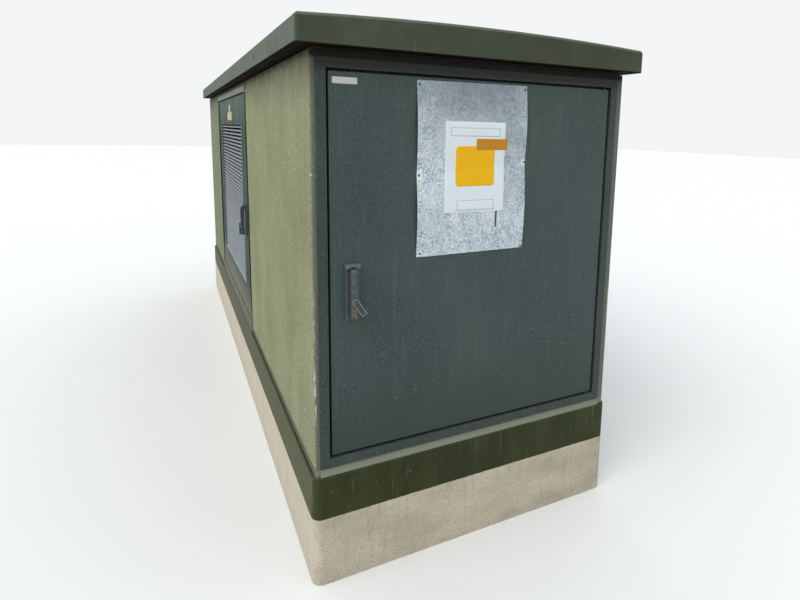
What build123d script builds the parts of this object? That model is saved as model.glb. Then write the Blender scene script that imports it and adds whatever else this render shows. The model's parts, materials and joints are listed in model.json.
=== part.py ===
"""Compact concrete kiosk with its distribution transformer, switchgear and low-voltage board.

Millimetres. The base stands on z = 0 and is centred on x = 0, y = 0. The front door looks towards -Y,
the louvred side door towards -X and the rear door towards +Y.
"""
from build123d import *
import math
import os

os.makedirs("parts", exist_ok=True)

# Concrete base
base_height = 400
base_proud = 12.5  # how far the base stands out from the walls
base_wall = 120
base_corner_radius = 35
base_top_bevel = 4
sump_floor = 90
cross_wall = 80

# Concrete walls
wall_width = 1250
wall_length = 4034
side_wall = 70
end_wall = 80
wall_height = 1390
wall_corner_bevel = 6
sill_slope = 8  # the wall foot runs out this far under each door frame

# Roof slab and the seal under it
roof_seal = 10
roof_seal_width = 30
roof_seal_inset = 15
roof_overhang = 52
roof_edge = 84
roof_camber = 18
roof_bevel = 10
roof_recess = 25
drip_groove_inset = 18
drip_groove_width = 10
drip_groove_depth = 6
lift_socket_radius = 11
lift_socket_depth = 90
lift_socket_from_end = 745
lift_socket_height = 34  # above the underside of the roof

# Door frames, shared by the three doors
frame_bottom = 427
frame_top = 1771
frame_face = 32  # visible width of the frame
frame_sheet = 3
frame_proud = 6
frame_depth = 33  # how far the frame reaches into the wall
frame_stop = 14  # width of the flange that the leaf closes against
frame_edge_radius = 1.5
frame_play = 2  # between the frame and the concrete
front_frame_width = 1200
front_frame_offset = -8
side_frame_width = 1615
side_frame_start = 1475  # from the front wall
keeper_pocket = 20  # depth and height of the concrete pocket behind each rod keeper
keeper_pocket_width = 34
keeper_play = 1  # round each rod in the frame

# Door leaves
leaf_gap = 8
leaf_depth = 24
leaf_sheet = 2
leaf_flange = 18
leaf_edge_radius = 2
leaf_rib_depth = 14
leaf_rib_spacing = 360
seal_width = 10
seal_clearance = 0.3
seal_hinge_gap = 1.5  # between the seal and the leaf's pivot edge
pivot_inset = 12  # pivot axis behind the leaf's face and in from its edge
pivot_radius = 5
pivot_reach = 20
pivot_block = 18
pivot_collar_radius = 9
shaft_clearance = 0.05

# Louvre of the side door
louvre_width = 1163
louvre_bottom = 637
louvre_height = 924
louvre_offset = -11
slat_count = 41
slat_depth = 16
slat_rise = 10
slat_sheet = 1.2
louvre_channel = 12
louvre_flange = 10
louvre_flange_sheet = 2

# Door handle
handle_inset = 71  # from the leaf's free edge
spindle_height = 1099
handle_plate_width = 50
handle_plate_height = 184
handle_plate_above = 25  # of the plate above the spindle
handle_plate_thickness = 10
handle_plate_corner = 4
handle_plate_bevel = 1.5
plate_cap_thickness = 22  # from the leaf to the cap's face
plate_cap_height = 13
cap_clearance = 2  # round the turning lever's head
plate_screw_radius = 4
plate_screw_proud = 2
plate_screw_drop = 170  # of the fixing screw below the plate's top, behind the lever
spindle_head_radius = 10.5
spindle_head_length = 3
spindle_radius = 8
spindle_tongue = 10
tongue_radius = 7.5
disc_gap = 2  # between the leaf's skin and the disc
disc_radius = 15
disc_thickness = 4
crank_pin_radius = 2.5
crank_pin_length = 5
lever_width = 22
lever_thickness = 22
lever_length = 153
lever_pin_radius = 2.5
lever_fillet = 4.5
lever_lift = 30  # degrees
lock_radius = 8.5
lock_leg = 10
lock_leg_drop = 24
lock_below_spindle = 125
lock_proud = 2.5
key_slot_width = 2
key_slot_height = 9
key_slot_depth = 8
cover_below_spindle = 93
cover_width = 20
cover_length = 57  # from its rivet to its lower end
cover_thickness = 4
cover_rim = 2.5
cover_recess = 2
cover_corner = 3
cover_pin_radius = 2
cover_pin_depth = 5
front_cover_angle = 33  # the front lock cover hangs aside
part_play = 0.3

# Locking rods
rod_width = 14
rod_thickness = 3
rod_spacing = 17  # between the two rods' centre lines
rod_travel = 14  # over a quarter turn of the spindle
rod_end_gap = 1  # from the rod's tip to the frame with the door unlocked
rod_slot_play = 0.5
guide_width = 24
guide_height = 12
guide_depth = 11
guide_inset = 80  # of the guides from the spindle and from the leaf's ends
rod_heel = 5

# Galvanised plate on the front leaf
plate_left = -263.5  # from the middle of the front door
plate_width = 435
plate_bottom = 1126
plate_height = 596
plate_lean = 0.4  # degrees, to the left at the top
plate_thickness = 1.5
plate_corner = 4

# Partitions
partition_sheet = 3
partition_depth = 30
partition_side_gap = 2
gland_hole_radius = 24
bar_window_height = 90
bar_window_width = 400

# Transformer
rail_height = 50
rail_width = 100
rail_sheet = 8
rail_spacing = 660
skid_height = 40
skid_width = 60
skid_spacing = 300
tank_length = 900
tank_width = 380
tank_height = 790
tank_wall = 8
tank_corner_radius = 25
tank_flange = 40
tank_flange_thickness = 12
fin_thickness = 8
fin_depth = 165
end_fin_depth = 85
fin_height = 640
fin_bottom_gap = 70
fin_margin = 50  # from the tank's corner to the first fin
side_fins = 18
end_fins = 7
cover_plate = 10
cover_bolt_radius = 11
cover_bolt_height = 9
cover_bolts_long = 9
cover_bolts_short = 4
lug_width = 60
lug_height = 55
lug_thickness = 12
lug_eye_radius = 14
lug_eye_drop = 8  # of solid above the eye
lug_from_end = 250
lug_inset = 45  # from the cover's edge
filler_radius = 28
filler_height = 70
filler_cap_height = 18
filler_cap_proud = 8
core_limb = 120
core_length = 710
core_depth = 120
core_height = 580
core_foot = 40
coil_radius = 138
coil_play = 4
coil_height = 320
hv_spacing = 150
hv_from_end = 155
hv_height = 190
hv_radius = 30
hv_sheds = 3
hv_shed_reach = 12
elbow_radius = 24
elbow_height = 50
elbow_axis = 30  # of the cable's hood above the insulator
elbow_hood_radius = 20
elbow_reach = 60
lv_spacing = 105
lv_from_end = 135
lv_height = 120
lv_radius = 24
lv_sheds = 2
lv_shed_reach = 10
lv_terminal_width = 40
lv_terminal_thickness = 10
knob_radius = 32
knob_height = 18
knob_stem_radius = 9
knob_stem_height = 45
knob_x = 110
knob_boss_height = 12
knob_boss_wall = 12
knob_bore_depth = 2  # below the cover's face
knob_flute_radius = 11
knob_flute_out = 4  # of each flute's centre beyond the knob
knob_flutes = 6
knob_pointer = 3

# Cables and bars between the compartments
cable_radius = 14
cable_spacing = 120
cable_height = 640  # of the cables where they leave the switchgear
cable_riser_gap = 125  # in front of the transformer's end fins
cable_bend = (200, 140)
gland_radius = 22
gland_length = 30
link_bar_width = 40
link_bar_thickness = 6
link_bend = 5

# Switchgear
switchgear_width = 900
switchgear_depth = 700
switchgear_from_front = 350
switchgear_height = 1250
plinth_height = 40
plinth_width = 60
housing_sheet = 3
cable_room_height = 660
shaft_radius = 16
shaft_hole_radius = 8
shaft_length = 45
shaft_proud = 22
shaft_spacing = 290
shaft_above_room = 250
shaft_bearing_radius = 26
shaft_bearing_length = 12
cone_radius = 28
cone_tip_radius = 20
cone_length = 90
cone_spacing = 85
cone_drop = 150  # of the cones below the top of the cable room
cone_back = 260  # depth of the wall with the cones, from the housing's face
cone_wall_height = 260
plinth_inset = 70  # of each foot from the housing's face and back
plinth_sheet = 4
shaft_collar = 4
shaft_socket_depth = 29
shaft_pointer_width = 5
shaft_pointer_reach = 12
shaft_pointer_thickness = 4
room_cover_margin = 20
room_cover_sheet = 2
room_cover_inset = 4  # of the cover's edges inside the housing's
room_cover_depth = 12
grip_width = 100
grip_bar = 8
grip_reach = 28
grip_drop = 110

# Low-voltage board
board_gap = 10  # between the partition and the board
board_width = 1096
board_height = 980
board_sheet = 3
board_flange = 40
main_switch_width = 300
main_switch_height = 260
main_switch_depth = 130
main_switch_drop = 103  # of its top below the middle of the link bars
main_switch_corner = 8
main_pivot_ahead = 26
main_ear_width = 12
main_ear_radius = 12
main_pin_radius = 6
main_grip_ahead = 8  # of the grip in front of the pivot
main_lever_radius = 9
main_lever_length = 120
main_lever_hub_radius = 20
main_lever_hub_width = 24
busbar_height = 40
busbar_thickness = 6
busbar_length = 900
busbar_pitch = 140
busbar_top = 940
busbar_standoff = 60
busbar_peg_radius = 12
peg_from_end = 30
riser_width = 30
riser_spacing = 70
strip_width = 100
strip_height = 480
strip_depth = 60
strip_spacing = 240
strip_bottom = 500
strip_corner = 5
strip_pivot_above = 140  # of the handles' pivots above the strips' lower ends
strip_ear_width = 10
strip_ear_reach = 9
strip_handle_depth = 55
strip_handle_height = 200
strip_handle_side_gap = 1
strip_handle_heel = 6  # from the handle's pivot to its back and to its lower edge
strip_handle_corner = 6
strip_handle_wall = 4
strip_handle_front = 5
strip_handle_foot = 24  # solid lower end that carries the pins
strip_grip_width = 50
strip_grip_reach = 28
strip_grip_height = 12
strip_grip_drop = 28  # of the grip's top below the handle's top
strip_pin_inset = 1
strip_pivot_radius = 4
strip_pivot_ahead = 10  # of the pivot in front of the switch body

# Places that follow from the sizes above
front = -wall_length / 2
rear = wall_length / 2
wall_top = base_height + wall_height
roof_bottom = wall_top + roof_seal
inner_half_width = wall_width / 2 - side_wall
bay_start = front + side_frame_start
bay_end = bay_start + side_frame_width
bay_middle = (bay_start + bay_end) / 2
front_partition_y = bay_start - cross_wall / 2 - partition_depth / 2
rear_partition_y = bay_end + cross_wall / 2 - partition_depth / 2
leaf_bottom = frame_bottom + frame_face + leaf_gap
leaf_top = frame_top - frame_face - leaf_gap
pivot_y = pivot_inset
rod_play = leaf_gap - rod_end_gap
crank_offset = rod_travel / 2  # of each crank pin from the spindle, sideways and up or down
rod_y = leaf_sheet + disc_gap + disc_thickness + part_play


def block(x0, x1, y0, y1, z0, z1):
    """A box between two opposite corners."""
    return Pos((x0 + x1) / 2, (y0 + y1) / 2, (z0 + z1) / 2) * Box(x1 - x0, y1 - y0, z1 - z0)


def post_x(x0, x1, y, z, radius):
    """A round bar along X."""
    return Pos((x0 + x1) / 2, y, z) * Rot(0, 90, 0) * Cylinder(radius, x1 - x0)


def post_y(x, y0, y1, z, radius):
    """A round bar along Y."""
    return Pos(x, (y0 + y1) / 2, z) * Rot(90, 0, 0) * Cylinder(radius, y1 - y0)


def post_z(x, y, z0, z1, radius):
    """A round bar along Z."""
    return Pos(x, y, (z0 + z1) / 2) * Cylinder(radius, z1 - z0)


def ring(half_width, low, high, inset, y0, y1):
    """An upright rectangular ring with a wall of the given inset."""
    outer = block(-half_width, half_width, y0, y1, low, high)
    inner = block(-half_width + inset, half_width - inset, y0 - 1, y1 + 1, low + inset, high - inset)
    return outer - inner


def group(solids):
    """Several separate solids in one node."""
    return Compound([solid for item in solids for solid in item.solids()])


def edges_along(shape, axis):
    return shape.edges().filter_by(axis)


def place_on(face):
    """Turns a door from its own frame, seen from outside, to its wall of the kiosk."""
    if face == "front":
        return Pos(front_frame_offset, front, 0)
    if face == "side":
        return Pos(-wall_width / 2, bay_middle, 0) * Rot(0, 0, -90)
    return Pos(-front_frame_offset, rear, 0) * Rot(0, 0, 180)


doors = {
    "front": {"width": front_frame_width, "hand": 1, "cover_angle": front_cover_angle, "louvred": False},
    "side": {"width": side_frame_width, "hand": -1, "cover_angle": 0, "louvred": True},
    "rear": {"width": front_frame_width, "hand": 1, "cover_angle": 0, "louvred": False},
}


# Concrete

def base_casting():
    half_width = wall_width / 2 + base_proud
    half_length = wall_length / 2 + base_proud
    base = block(-half_width, half_width, -half_length, half_length, 0, base_height)
    base = fillet(edges_along(base, Axis.Z), base_corner_radius)
    base = chamfer(base.faces().sort_by(Axis.Z)[-1].edges(), base_top_bevel)
    inner_x = half_width - base_wall
    inner_y = half_length - base_wall
    base -= block(-inner_x, inner_x, -inner_y, bay_start - cross_wall, -1, base_height + 1)
    base -= block(-inner_x, inner_x, bay_start, bay_end, sump_floor, base_height + 1)
    base -= block(-inner_x, inner_x, bay_end + cross_wall, inner_y, -1, base_height + 1)
    return base


def sloped_sill(width):
    """The wall foot under a door frame, which runs out to shed water."""
    slope = frame_bottom - base_height
    section = Plane.YZ * make_face(Polyline((0, 0), (0, slope), (-sill_slope, 0), close=True))
    return Pos(0, 0, base_height) * extrude(section, amount=width / 2, both=True)


def wall_opening(door):
    """The hole for a door frame, with a pocket behind each rod keeper."""
    half_width = door["width"] / 2 - frame_face + frame_sheet + frame_play
    low = frame_bottom + frame_face - frame_sheet - frame_play
    high = frame_top - frame_face + frame_sheet + frame_play
    hole = block(-half_width, half_width, -1, end_wall + 1, low, high)
    handle_x = handle_place(door)
    for side in (-1, 1):
        middle = handle_x + side * door["hand"] * rod_spacing / 2
        left = middle - keeper_pocket_width / 2
        z0, z1 = (high - 1, high + keeper_pocket) if side > 0 else (low - keeper_pocket, low + 1)
        hole += block(left, left + keeper_pocket_width, -1, keeper_pocket, z0, z1)
    return hole


def wall_casting():
    half_width = wall_width / 2
    walls = block(-half_width, half_width, front, rear, base_height, wall_top)
    walls = chamfer(edges_along(walls, Axis.Z), wall_corner_bevel)
    walls -= block(-inner_half_width, inner_half_width, front + end_wall, rear - end_wall,
                   base_height - 1, wall_top + 1)
    for face, door in doors.items():
        walls += place_on(face) * sloped_sill(door["width"])
        walls -= place_on(face) * wall_opening(door)
    return walls


def roof_slab():
    half_width = wall_width / 2 + roof_overhang
    half_length = wall_length / 2 + roof_overhang
    eaves = roof_bottom + roof_edge
    outline = [
        Line((-half_width, roof_bottom), (-half_width, eaves)),
        ThreePointArc((-half_width, eaves), (0, eaves + roof_camber), (half_width, eaves)),
        Line((half_width, eaves), (half_width, roof_bottom)),
        Line((half_width, roof_bottom), (-half_width, roof_bottom)),
    ]
    section = Plane.XZ * make_face(outline)
    roof = extrude(section, amount=half_length, both=True)
    top = roof.faces().sort_by(Axis.Z)[-1]
    roof = chamfer(top.edges() + edges_along(roof, Axis.Z), roof_bevel)
    roof -= block(-inner_half_width, inner_half_width, front + end_wall, rear - end_wall,
                  roof_bottom - 1, roof_bottom + roof_recess)
    groove_out = (half_width - drip_groove_inset, half_length - drip_groove_inset)
    groove_in = (groove_out[0] - drip_groove_width, groove_out[1] - drip_groove_width)
    low, high = roof_bottom - 1, roof_bottom + drip_groove_depth
    groove = block(-groove_out[0], groove_out[0], -groove_out[1], groove_out[1], low, high)
    groove -= block(-groove_in[0], groove_in[0], -groove_in[1], groove_in[1], low - 1, high + 1)
    roof -= groove
    socket_y = wall_length / 2 - lift_socket_from_end
    socket_z = roof_bottom + lift_socket_height
    for y in (-socket_y, socket_y):
        roof -= post_x(-half_width - 1, -half_width + lift_socket_depth, y, socket_z, lift_socket_radius)
        roof -= post_x(half_width - lift_socket_depth, half_width + 1, y, socket_z, lift_socket_radius)
    return roof


def roof_seal_strip():
    x = wall_width / 2 - roof_seal_inset
    y = wall_length / 2 - roof_seal_inset
    strip = block(-x, x, -y, y, wall_top, roof_bottom)
    return strip - block(-x + roof_seal_width, x - roof_seal_width, -y + roof_seal_width,
                         y - roof_seal_width, wall_top - 1, roof_bottom + 1)


# Doors. Each is drawn as seen from outside: x to the right, y into the kiosk, y = 0 on the wall's face.
# hand is 1 with the pivots on the right, and -1 with the pivots on the left.

def leaf_half_width(door):
    return door["width"] / 2 - frame_face - leaf_gap


def handle_place(door):
    return -door["hand"] * (leaf_half_width(door) - handle_inset)


def pivot_place(door):
    return door["hand"] * (leaf_half_width(door) - pivot_inset)


def rod_place(door, side):
    """Centre line of a rod: side is 1 for the upper rod and -1 for the lower one."""
    return handle_place(door) + side * door["hand"] * rod_spacing / 2


def door_frame(door):
    half = door["width"] / 2
    face = ring(half, frame_bottom, frame_top, frame_face, -frame_proud, -frame_proud + frame_sheet)
    front_face = face.faces().sort_by(Axis.Y)[0]
    face = fillet(front_face.edges(), frame_edge_radius)
    step = frame_face - frame_sheet
    low, high = frame_bottom + step, frame_top - step
    frame = face + ring(half, frame_bottom, frame_top, frame_sheet, -frame_proud + frame_sheet, 0)
    frame += ring(half - step, low, high, frame_sheet, -frame_proud + frame_sheet, frame_depth)
    frame += ring(half - step, low, high, frame_sheet + frame_stop, frame_depth - frame_sheet, frame_depth)
    x = pivot_place(door)
    frame += post_z(x, pivot_y, low + frame_sheet - 1, leaf_bottom + pivot_reach, pivot_radius)
    frame += post_z(x, pivot_y, low + frame_sheet - 1, leaf_bottom - part_play, pivot_collar_radius)
    frame += post_z(x, pivot_y, leaf_top - pivot_reach, high - frame_sheet + 1, pivot_radius)
    for side, z in ((1, high - frame_sheet / 2), (-1, low + frame_sheet / 2)):
        middle = rod_place(door, side)
        wide = rod_width / 2 + keeper_play
        frame -= block(middle - wide, middle + wide, rod_y - 1, rod_y + rod_thickness + 1,
                       z - frame_sheet, z + frame_sheet)
    return frame


def rod_guides(door):
    """The bridges that hold the two rods to the back of the leaf."""
    places = {
        1: (spindle_height + guide_inset, leaf_top - guide_inset),
        -1: (spindle_height - guide_inset, leaf_bottom + guide_inset),
    }
    bridges = []
    for side, heights in places.items():
        x = rod_place(door, side)
        for z in heights:
            bridge = block(x - guide_width / 2, x + guide_width / 2, leaf_sheet, leaf_sheet + guide_depth,
                           z - guide_height / 2, z + guide_height / 2)
            slot = rod_width / 2 + part_play
            bridge -= block(x - slot, x + slot, rod_y - part_play, rod_y + rod_thickness + part_play,
                            z - guide_height, z + guide_height)
            bridges.append(bridge)
    return bridges


def door_leaf(door):
    """A folded pan with welded pivot blocks, rod guides and stiffening ribs."""
    half = leaf_half_width(door)
    pan = block(-half, half, 0, leaf_depth, leaf_bottom, leaf_top)
    pan = fillet(pan.faces().sort_by(Axis.Y)[0].edges(), leaf_edge_radius)
    sheet = leaf_sheet
    pan -= block(-half + sheet, half - sheet, sheet, leaf_depth - sheet,
                 leaf_bottom + sheet, leaf_top - sheet)
    flange = leaf_flange
    pan -= block(-half + flange, half - flange, leaf_depth - 2 * sheet, leaf_depth + 1,
                 leaf_bottom + flange, leaf_top - flange)
    x = pivot_place(door)
    blocks = []
    for low, high in ((leaf_bottom + sheet, leaf_bottom + pivot_reach + sheet),
                      (leaf_top - pivot_reach - sheet, leaf_top - sheet)):
        blocks.append(block(x - pivot_block / 2, x + pivot_block / 2, sheet, leaf_depth - sheet, low, high))
    ribs = []
    for rib_x in () if door["louvred"] else (-leaf_rib_spacing / 2, leaf_rib_spacing / 2):
        ribs.append(block(rib_x - sheet / 2, rib_x + sheet / 2, sheet, sheet + leaf_rib_depth,
                          leaf_bottom + sheet, leaf_top - sheet))
    leaf = pan + blocks + ribs + rod_guides(door)
    bore = pivot_radius + shaft_clearance
    leaf -= post_z(x, pivot_y, leaf_bottom - 1, leaf_bottom + pivot_reach + 1, bore)
    leaf -= post_z(x, pivot_y, leaf_top - pivot_reach - 1, leaf_top + 1, bore)
    for side, z in ((1, leaf_top), (-1, leaf_bottom)):
        middle = rod_place(door, side)
        wide = rod_width / 2 + part_play
        leaf -= block(middle - wide, middle + wide, rod_y - part_play, rod_y + rod_thickness + part_play,
                      z - 2 * sheet, z + 2 * sheet)
    leaf -= post_y(handle_place(door), -1, sheet + 1, spindle_height, spindle_radius + part_play)
    if door["louvred"]:
        left = louvre_offset - louvre_width / 2
        leaf -= block(left, left + louvre_width, -1, sheet + 1, louvre_bottom, louvre_bottom + louvre_height)
    return leaf


def door_seal(door):
    """A strip on the frame's flange along the top, the bottom and the lock side."""
    half = door["width"] / 2 - frame_face
    low, high = frame_bottom + frame_face, frame_top - frame_face
    y0, y1 = leaf_depth + seal_clearance, frame_depth - frame_sheet
    strip = ring(half, low, high, seal_width, y0, y1)
    hinge_edge = pivot_place(door) - door["hand"] * (pivot_inset + seal_hinge_gap)
    outside = door["hand"] * (half + 1)
    left, right = min(hinge_edge, outside), max(hinge_edge, outside)
    return strip - block(left, right, y0 - 1, y1 + 1, low - 1, high + 1)


def handle_plate(door):
    """A plate with a fixing screw near its lower end, and a raised cap cut round above the lever's head."""
    x = handle_place(door)
    half = handle_plate_width / 2
    top = spindle_height + handle_plate_above
    plate = block(x - half, x + half, -handle_plate_thickness, 0, top - handle_plate_height, top)
    plate = fillet(edges_along(plate, Axis.Y), handle_plate_corner)
    cap = block(x - half, x + half, -plate_cap_thickness, -handle_plate_thickness,
                top - plate_cap_height, top)
    top_corners = [edge for edge in edges_along(cap, Axis.Y) if edge.center().Z > top - 1]
    cap = fillet(top_corners, handle_plate_corner)
    swing = math.hypot(lever_width / 2, lever_thickness / 2) + cap_clearance
    cap -= post_y(x, -plate_cap_thickness - 1, 0, spindle_height, swing)
    cap = chamfer(cap.faces().filter_by(Axis.Y).sort_by(Axis.Y)[0].edges(), handle_plate_bevel)
    screw_z = top - plate_screw_drop
    plate += post_y(x, -handle_plate_thickness - plate_screw_proud, -1, screw_z, plate_screw_radius)
    plate -= post_y(x, -handle_plate_thickness - 1, 1, spindle_height, spindle_radius + shaft_clearance)
    return group([plate, cap])


head_back = -handle_plate_thickness - part_play
head_front = head_back - spindle_head_length
lever_y = head_front - part_play - lever_thickness / 2
lever_face = lever_y - lever_thickness / 2


def spindle(door):
    """A head with a round-ended tongue and the lever's pin, a shaft, and a disc with two pins."""
    x = handle_place(door)
    z = spindle_height
    half = spindle_tongue / 2
    disc_front = leaf_sheet + disc_gap
    part = post_y(x, head_front, head_back, z, spindle_head_radius)
    neck = tongue_radius * math.cos(math.radians(lever_lift)) - 2 * part_play
    part += block(x - half, x + half, lever_y, head_front + 1, z - neck, z + neck)
    part += post_x(x - half, x + half, lever_y, z, tongue_radius)
    part += post_y(x, head_back - 1, disc_front + 1, z, spindle_radius)
    part += post_y(x, disc_front, disc_front + disc_thickness, z, disc_radius)
    reach = lever_width / 2 - 1
    part += post_x(x - reach, x + reach, lever_y, z, lever_pin_radius)
    back = disc_front + disc_thickness
    for side in (-1, 1):
        part += post_y(x + side * door["hand"] * crank_offset, back - 1, back + crank_pin_length,
                       z - side * crank_offset, crank_pin_radius)
    return part


def lever(door):
    """A bar with a round head that straddles the spindle's tongue, and the seat of the lock below."""
    x = handle_place(door)
    z = spindle_height
    half = lever_width / 2
    part = block(x - half, x + half, lever_face, lever_face + lever_thickness, z - lever_length, z)
    part += post_x(x - half, x + half, lever_y, z, lever_thickness / 2)
    outer = part.faces().filter_by(Axis.Y).sort_by(Axis.Y)[0].edges()
    top_edge = outer.sort_by(Axis.Z)[-1]
    part = fillet([edge for edge in outer if edge != top_edge], lever_fillet)
    slot = spindle_tongue / 2 + part_play
    part -= post_x(x - slot, x + slot, lever_y, z, tongue_radius + part_play)
    part -= block(x - slot, x + slot, lever_y, lever_y + lever_thickness, z - tongue_radius - part_play,
                  z + lever_thickness)
    part -= post_x(x - lever_width, x + lever_width, lever_y, z, lever_pin_radius + shaft_clearance)
    part -= lock_outline(x, lever_face - 1, lever_face + lever_thickness + 1, part_play / 6)
    part -= post_y(x, lever_face - 1, lever_face + cover_pin_depth + 1, z - cover_below_spindle,
                   cover_pin_radius + shaft_clearance)
    return part


def lock_outline(x, y0, y1, play=0.0):
    """The round and its leg of a profile cylinder."""
    z = spindle_height - lock_below_spindle
    half_leg = lock_leg / 2 + play
    return post_y(x, y0, y1, z, lock_radius + play) + block(x - half_leg, x + half_leg, y0, y1,
                                                          z - lock_leg_drop - play, z)


def lock_cylinder(door):
    x = handle_place(door)
    y0 = lever_face - lock_proud
    body = lock_outline(x, y0, lever_face + lever_thickness)
    z = spindle_height - lock_below_spindle
    keyway = block(x - key_slot_width / 2, x + key_slot_width / 2, y0 - 1, y0 + key_slot_depth,
                   z - key_slot_height / 2, z + key_slot_height / 2)
    return body - keyway


def lock_cover(door):
    """A flap with a round top and a raised rim, which swings aside on its rivet."""
    x = handle_place(door)
    z = spindle_height - cover_below_spindle
    half = cover_width / 2
    back = lever_face - lock_proud - part_play
    front_y = back - cover_thickness
    flap = block(x - half, x + half, front_y, back, z - cover_length, z)
    flap += post_y(x, front_y, back, z, half)
    low_edges = [edge for edge in edges_along(flap, Axis.Y) if edge.center().Z < z - cover_length + 1]
    flap = fillet(low_edges, cover_corner)
    inner = half - cover_rim
    flap -= block(x - inner, x + inner, front_y - 1, front_y + cover_recess, z - cover_length + cover_rim, z)
    flap -= post_y(x, front_y - 1, front_y + cover_recess, z, inner)
    flap += post_y(x, front_y + cover_recess / 2, lever_face - part_play, z, 2 * cover_pin_radius)
    flap += post_y(x, lever_face - 1, lever_face + cover_pin_depth, z, cover_pin_radius)
    angle = -door["hand"] * door["cover_angle"]
    return Pos(x, 0, z) * Rot(0, angle, 0) * Pos(-x, 0, -z) * flap


def rod(door, side):
    """A flat rod from its crank pin to the frame. side is 1 for the upper rod, -1 for the lower."""
    x = rod_place(door, side)
    pin_z = spindle_height - side * crank_offset
    heel = pin_z - side * (crank_pin_radius + rod_heel)
    tip = leaf_top + rod_play if side > 0 else leaf_bottom - rod_play
    part = block(x - rod_width / 2, x + rod_width / 2, rod_y, rod_y + rod_thickness,
                 min(heel, tip), max(heel, tip))
    inner = handle_place(door) + side * door["hand"] * crank_offset
    outer = handle_place(door) + side * door["hand"] * crank_offset * math.sqrt(2)
    reach = crank_pin_radius + rod_slot_play
    low, high = min(inner, outer) - reach, max(inner, outer) + reach
    return part - block(low, high, rod_y - 1, rod_y + rod_thickness + 1, pin_z - reach, pin_z + reach)


def louvre():
    """Bent slats between two side channels, with a flange behind the leaf's skin."""
    left = louvre_offset - louvre_width / 2
    right = left + louvre_width
    pitch = louvre_height / slat_count
    middle = slat_depth / 2
    t = slat_sheet
    outline = Polyline((0, 0), (middle, slat_rise), (slat_depth, 0), (slat_depth, t), (middle, slat_rise + t),
                       (0, t), close=True)
    section = Plane.YZ * make_face(outline)
    slat = extrude(section, amount=louvre_width - 2 * part_play)
    first = louvre_bottom + (pitch - slat_rise - t) / 2
    slats = []
    for index in range(slat_count):
        slats.append(Pos(left + part_play, leaf_sheet / 4, first + index * pitch) * slat)
    back = leaf_sheet / 4 + slat_depth
    low, high = louvre_bottom + part_play, louvre_bottom + louvre_height - part_play
    channels = [
        block(left + part_play, left + louvre_channel, leaf_sheet / 4, back, low, high),
        block(right - louvre_channel, right - part_play, leaf_sheet / 4, back, low, high),
    ]
    lip = block(left + part_play, right - part_play, leaf_sheet / 4, back, low, low + 2 * t)
    flange = block(left - louvre_flange, right + louvre_flange, leaf_sheet, leaf_sheet + louvre_flange_sheet,
                   louvre_bottom - louvre_flange, louvre_bottom + louvre_height + louvre_flange)
    flange -= block(left + part_play, right - part_play, 0, back, low, high)
    flange_back = block(left, right, leaf_sheet, leaf_sheet + louvre_flange_sheet, low - 1, low + 1)
    return flange + channels + slats + [lip, flange_back]


def galvanised_plate():
    """A sheet on the front leaf that hangs slightly out of plumb."""
    half_width, half_height = plate_width / 2, plate_height / 2
    plate = block(-half_width, half_width, -plate_thickness, 0, -half_height, half_height)
    plate = fillet(edges_along(plate, Axis.Y), plate_corner)
    return Pos(plate_left + half_width, 0, plate_bottom + half_height) * Rot(0, -plate_lean, 0) * plate


# Compartments

def partition(y):
    """A folded pan across the kiosk."""
    half = inner_half_width - partition_side_gap
    pan = block(-half, half, y, y + partition_depth, base_height, wall_top)
    return pan - block(-half + partition_sheet, half - partition_sheet, y + partition_sheet,
                       y + partition_depth + 1, base_height + partition_sheet, wall_top - partition_sheet)


def switchgear_partition():
    panel = partition(front_partition_y)
    for x in cable_places():
        panel -= post_y(x, front_partition_y - 1, front_partition_y + partition_depth, cable_height,
                        gland_hole_radius)
    return panel


def lv_partition():
    panel = partition(rear_partition_y)
    reach = bar_window_width / 2
    return panel - block(-reach, reach, rear_partition_y - 1, rear_partition_y + partition_depth + 1,
                         link_height - bar_window_height / 2, link_height + bar_window_height / 2)


# Transformer

skid_bottom = base_height + rail_height
tank_bottom = skid_bottom + skid_height
tank_top = tank_bottom + tank_height
cover_top = tank_top + cover_plate
lv_y = bay_middle + tank_length / 2 - lv_from_end
hv_y = bay_middle - tank_length / 2 + hv_from_end
link_height = cover_top + lv_height + lv_terminal_thickness + link_bar_thickness / 2
cable_top = cover_top + hv_height + elbow_axis
main_switch_top = link_height - main_switch_drop


def transformer_rails():
    """Two channels across the base."""
    half = inner_half_width - 5
    rails = []
    for side in (-1, 1):
        y = bay_middle + side * rail_spacing / 2
        rail = block(-half, half, y - rail_width / 2, y + rail_width / 2, base_height, skid_bottom)
        rail -= block(-half - 1, half + 1, y - rail_width / 2 + rail_sheet, y + rail_width / 2 - rail_sheet,
                      base_height - 1, base_height + rail_height - rail_sheet)
        rails.append(rail)
    return group(rails)


def spread(count, length):
    """Evenly spaced places over a length, centred on zero."""
    return [(index - (count - 1) / 2) * length / (count - 1) for index in range(count)]


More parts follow.
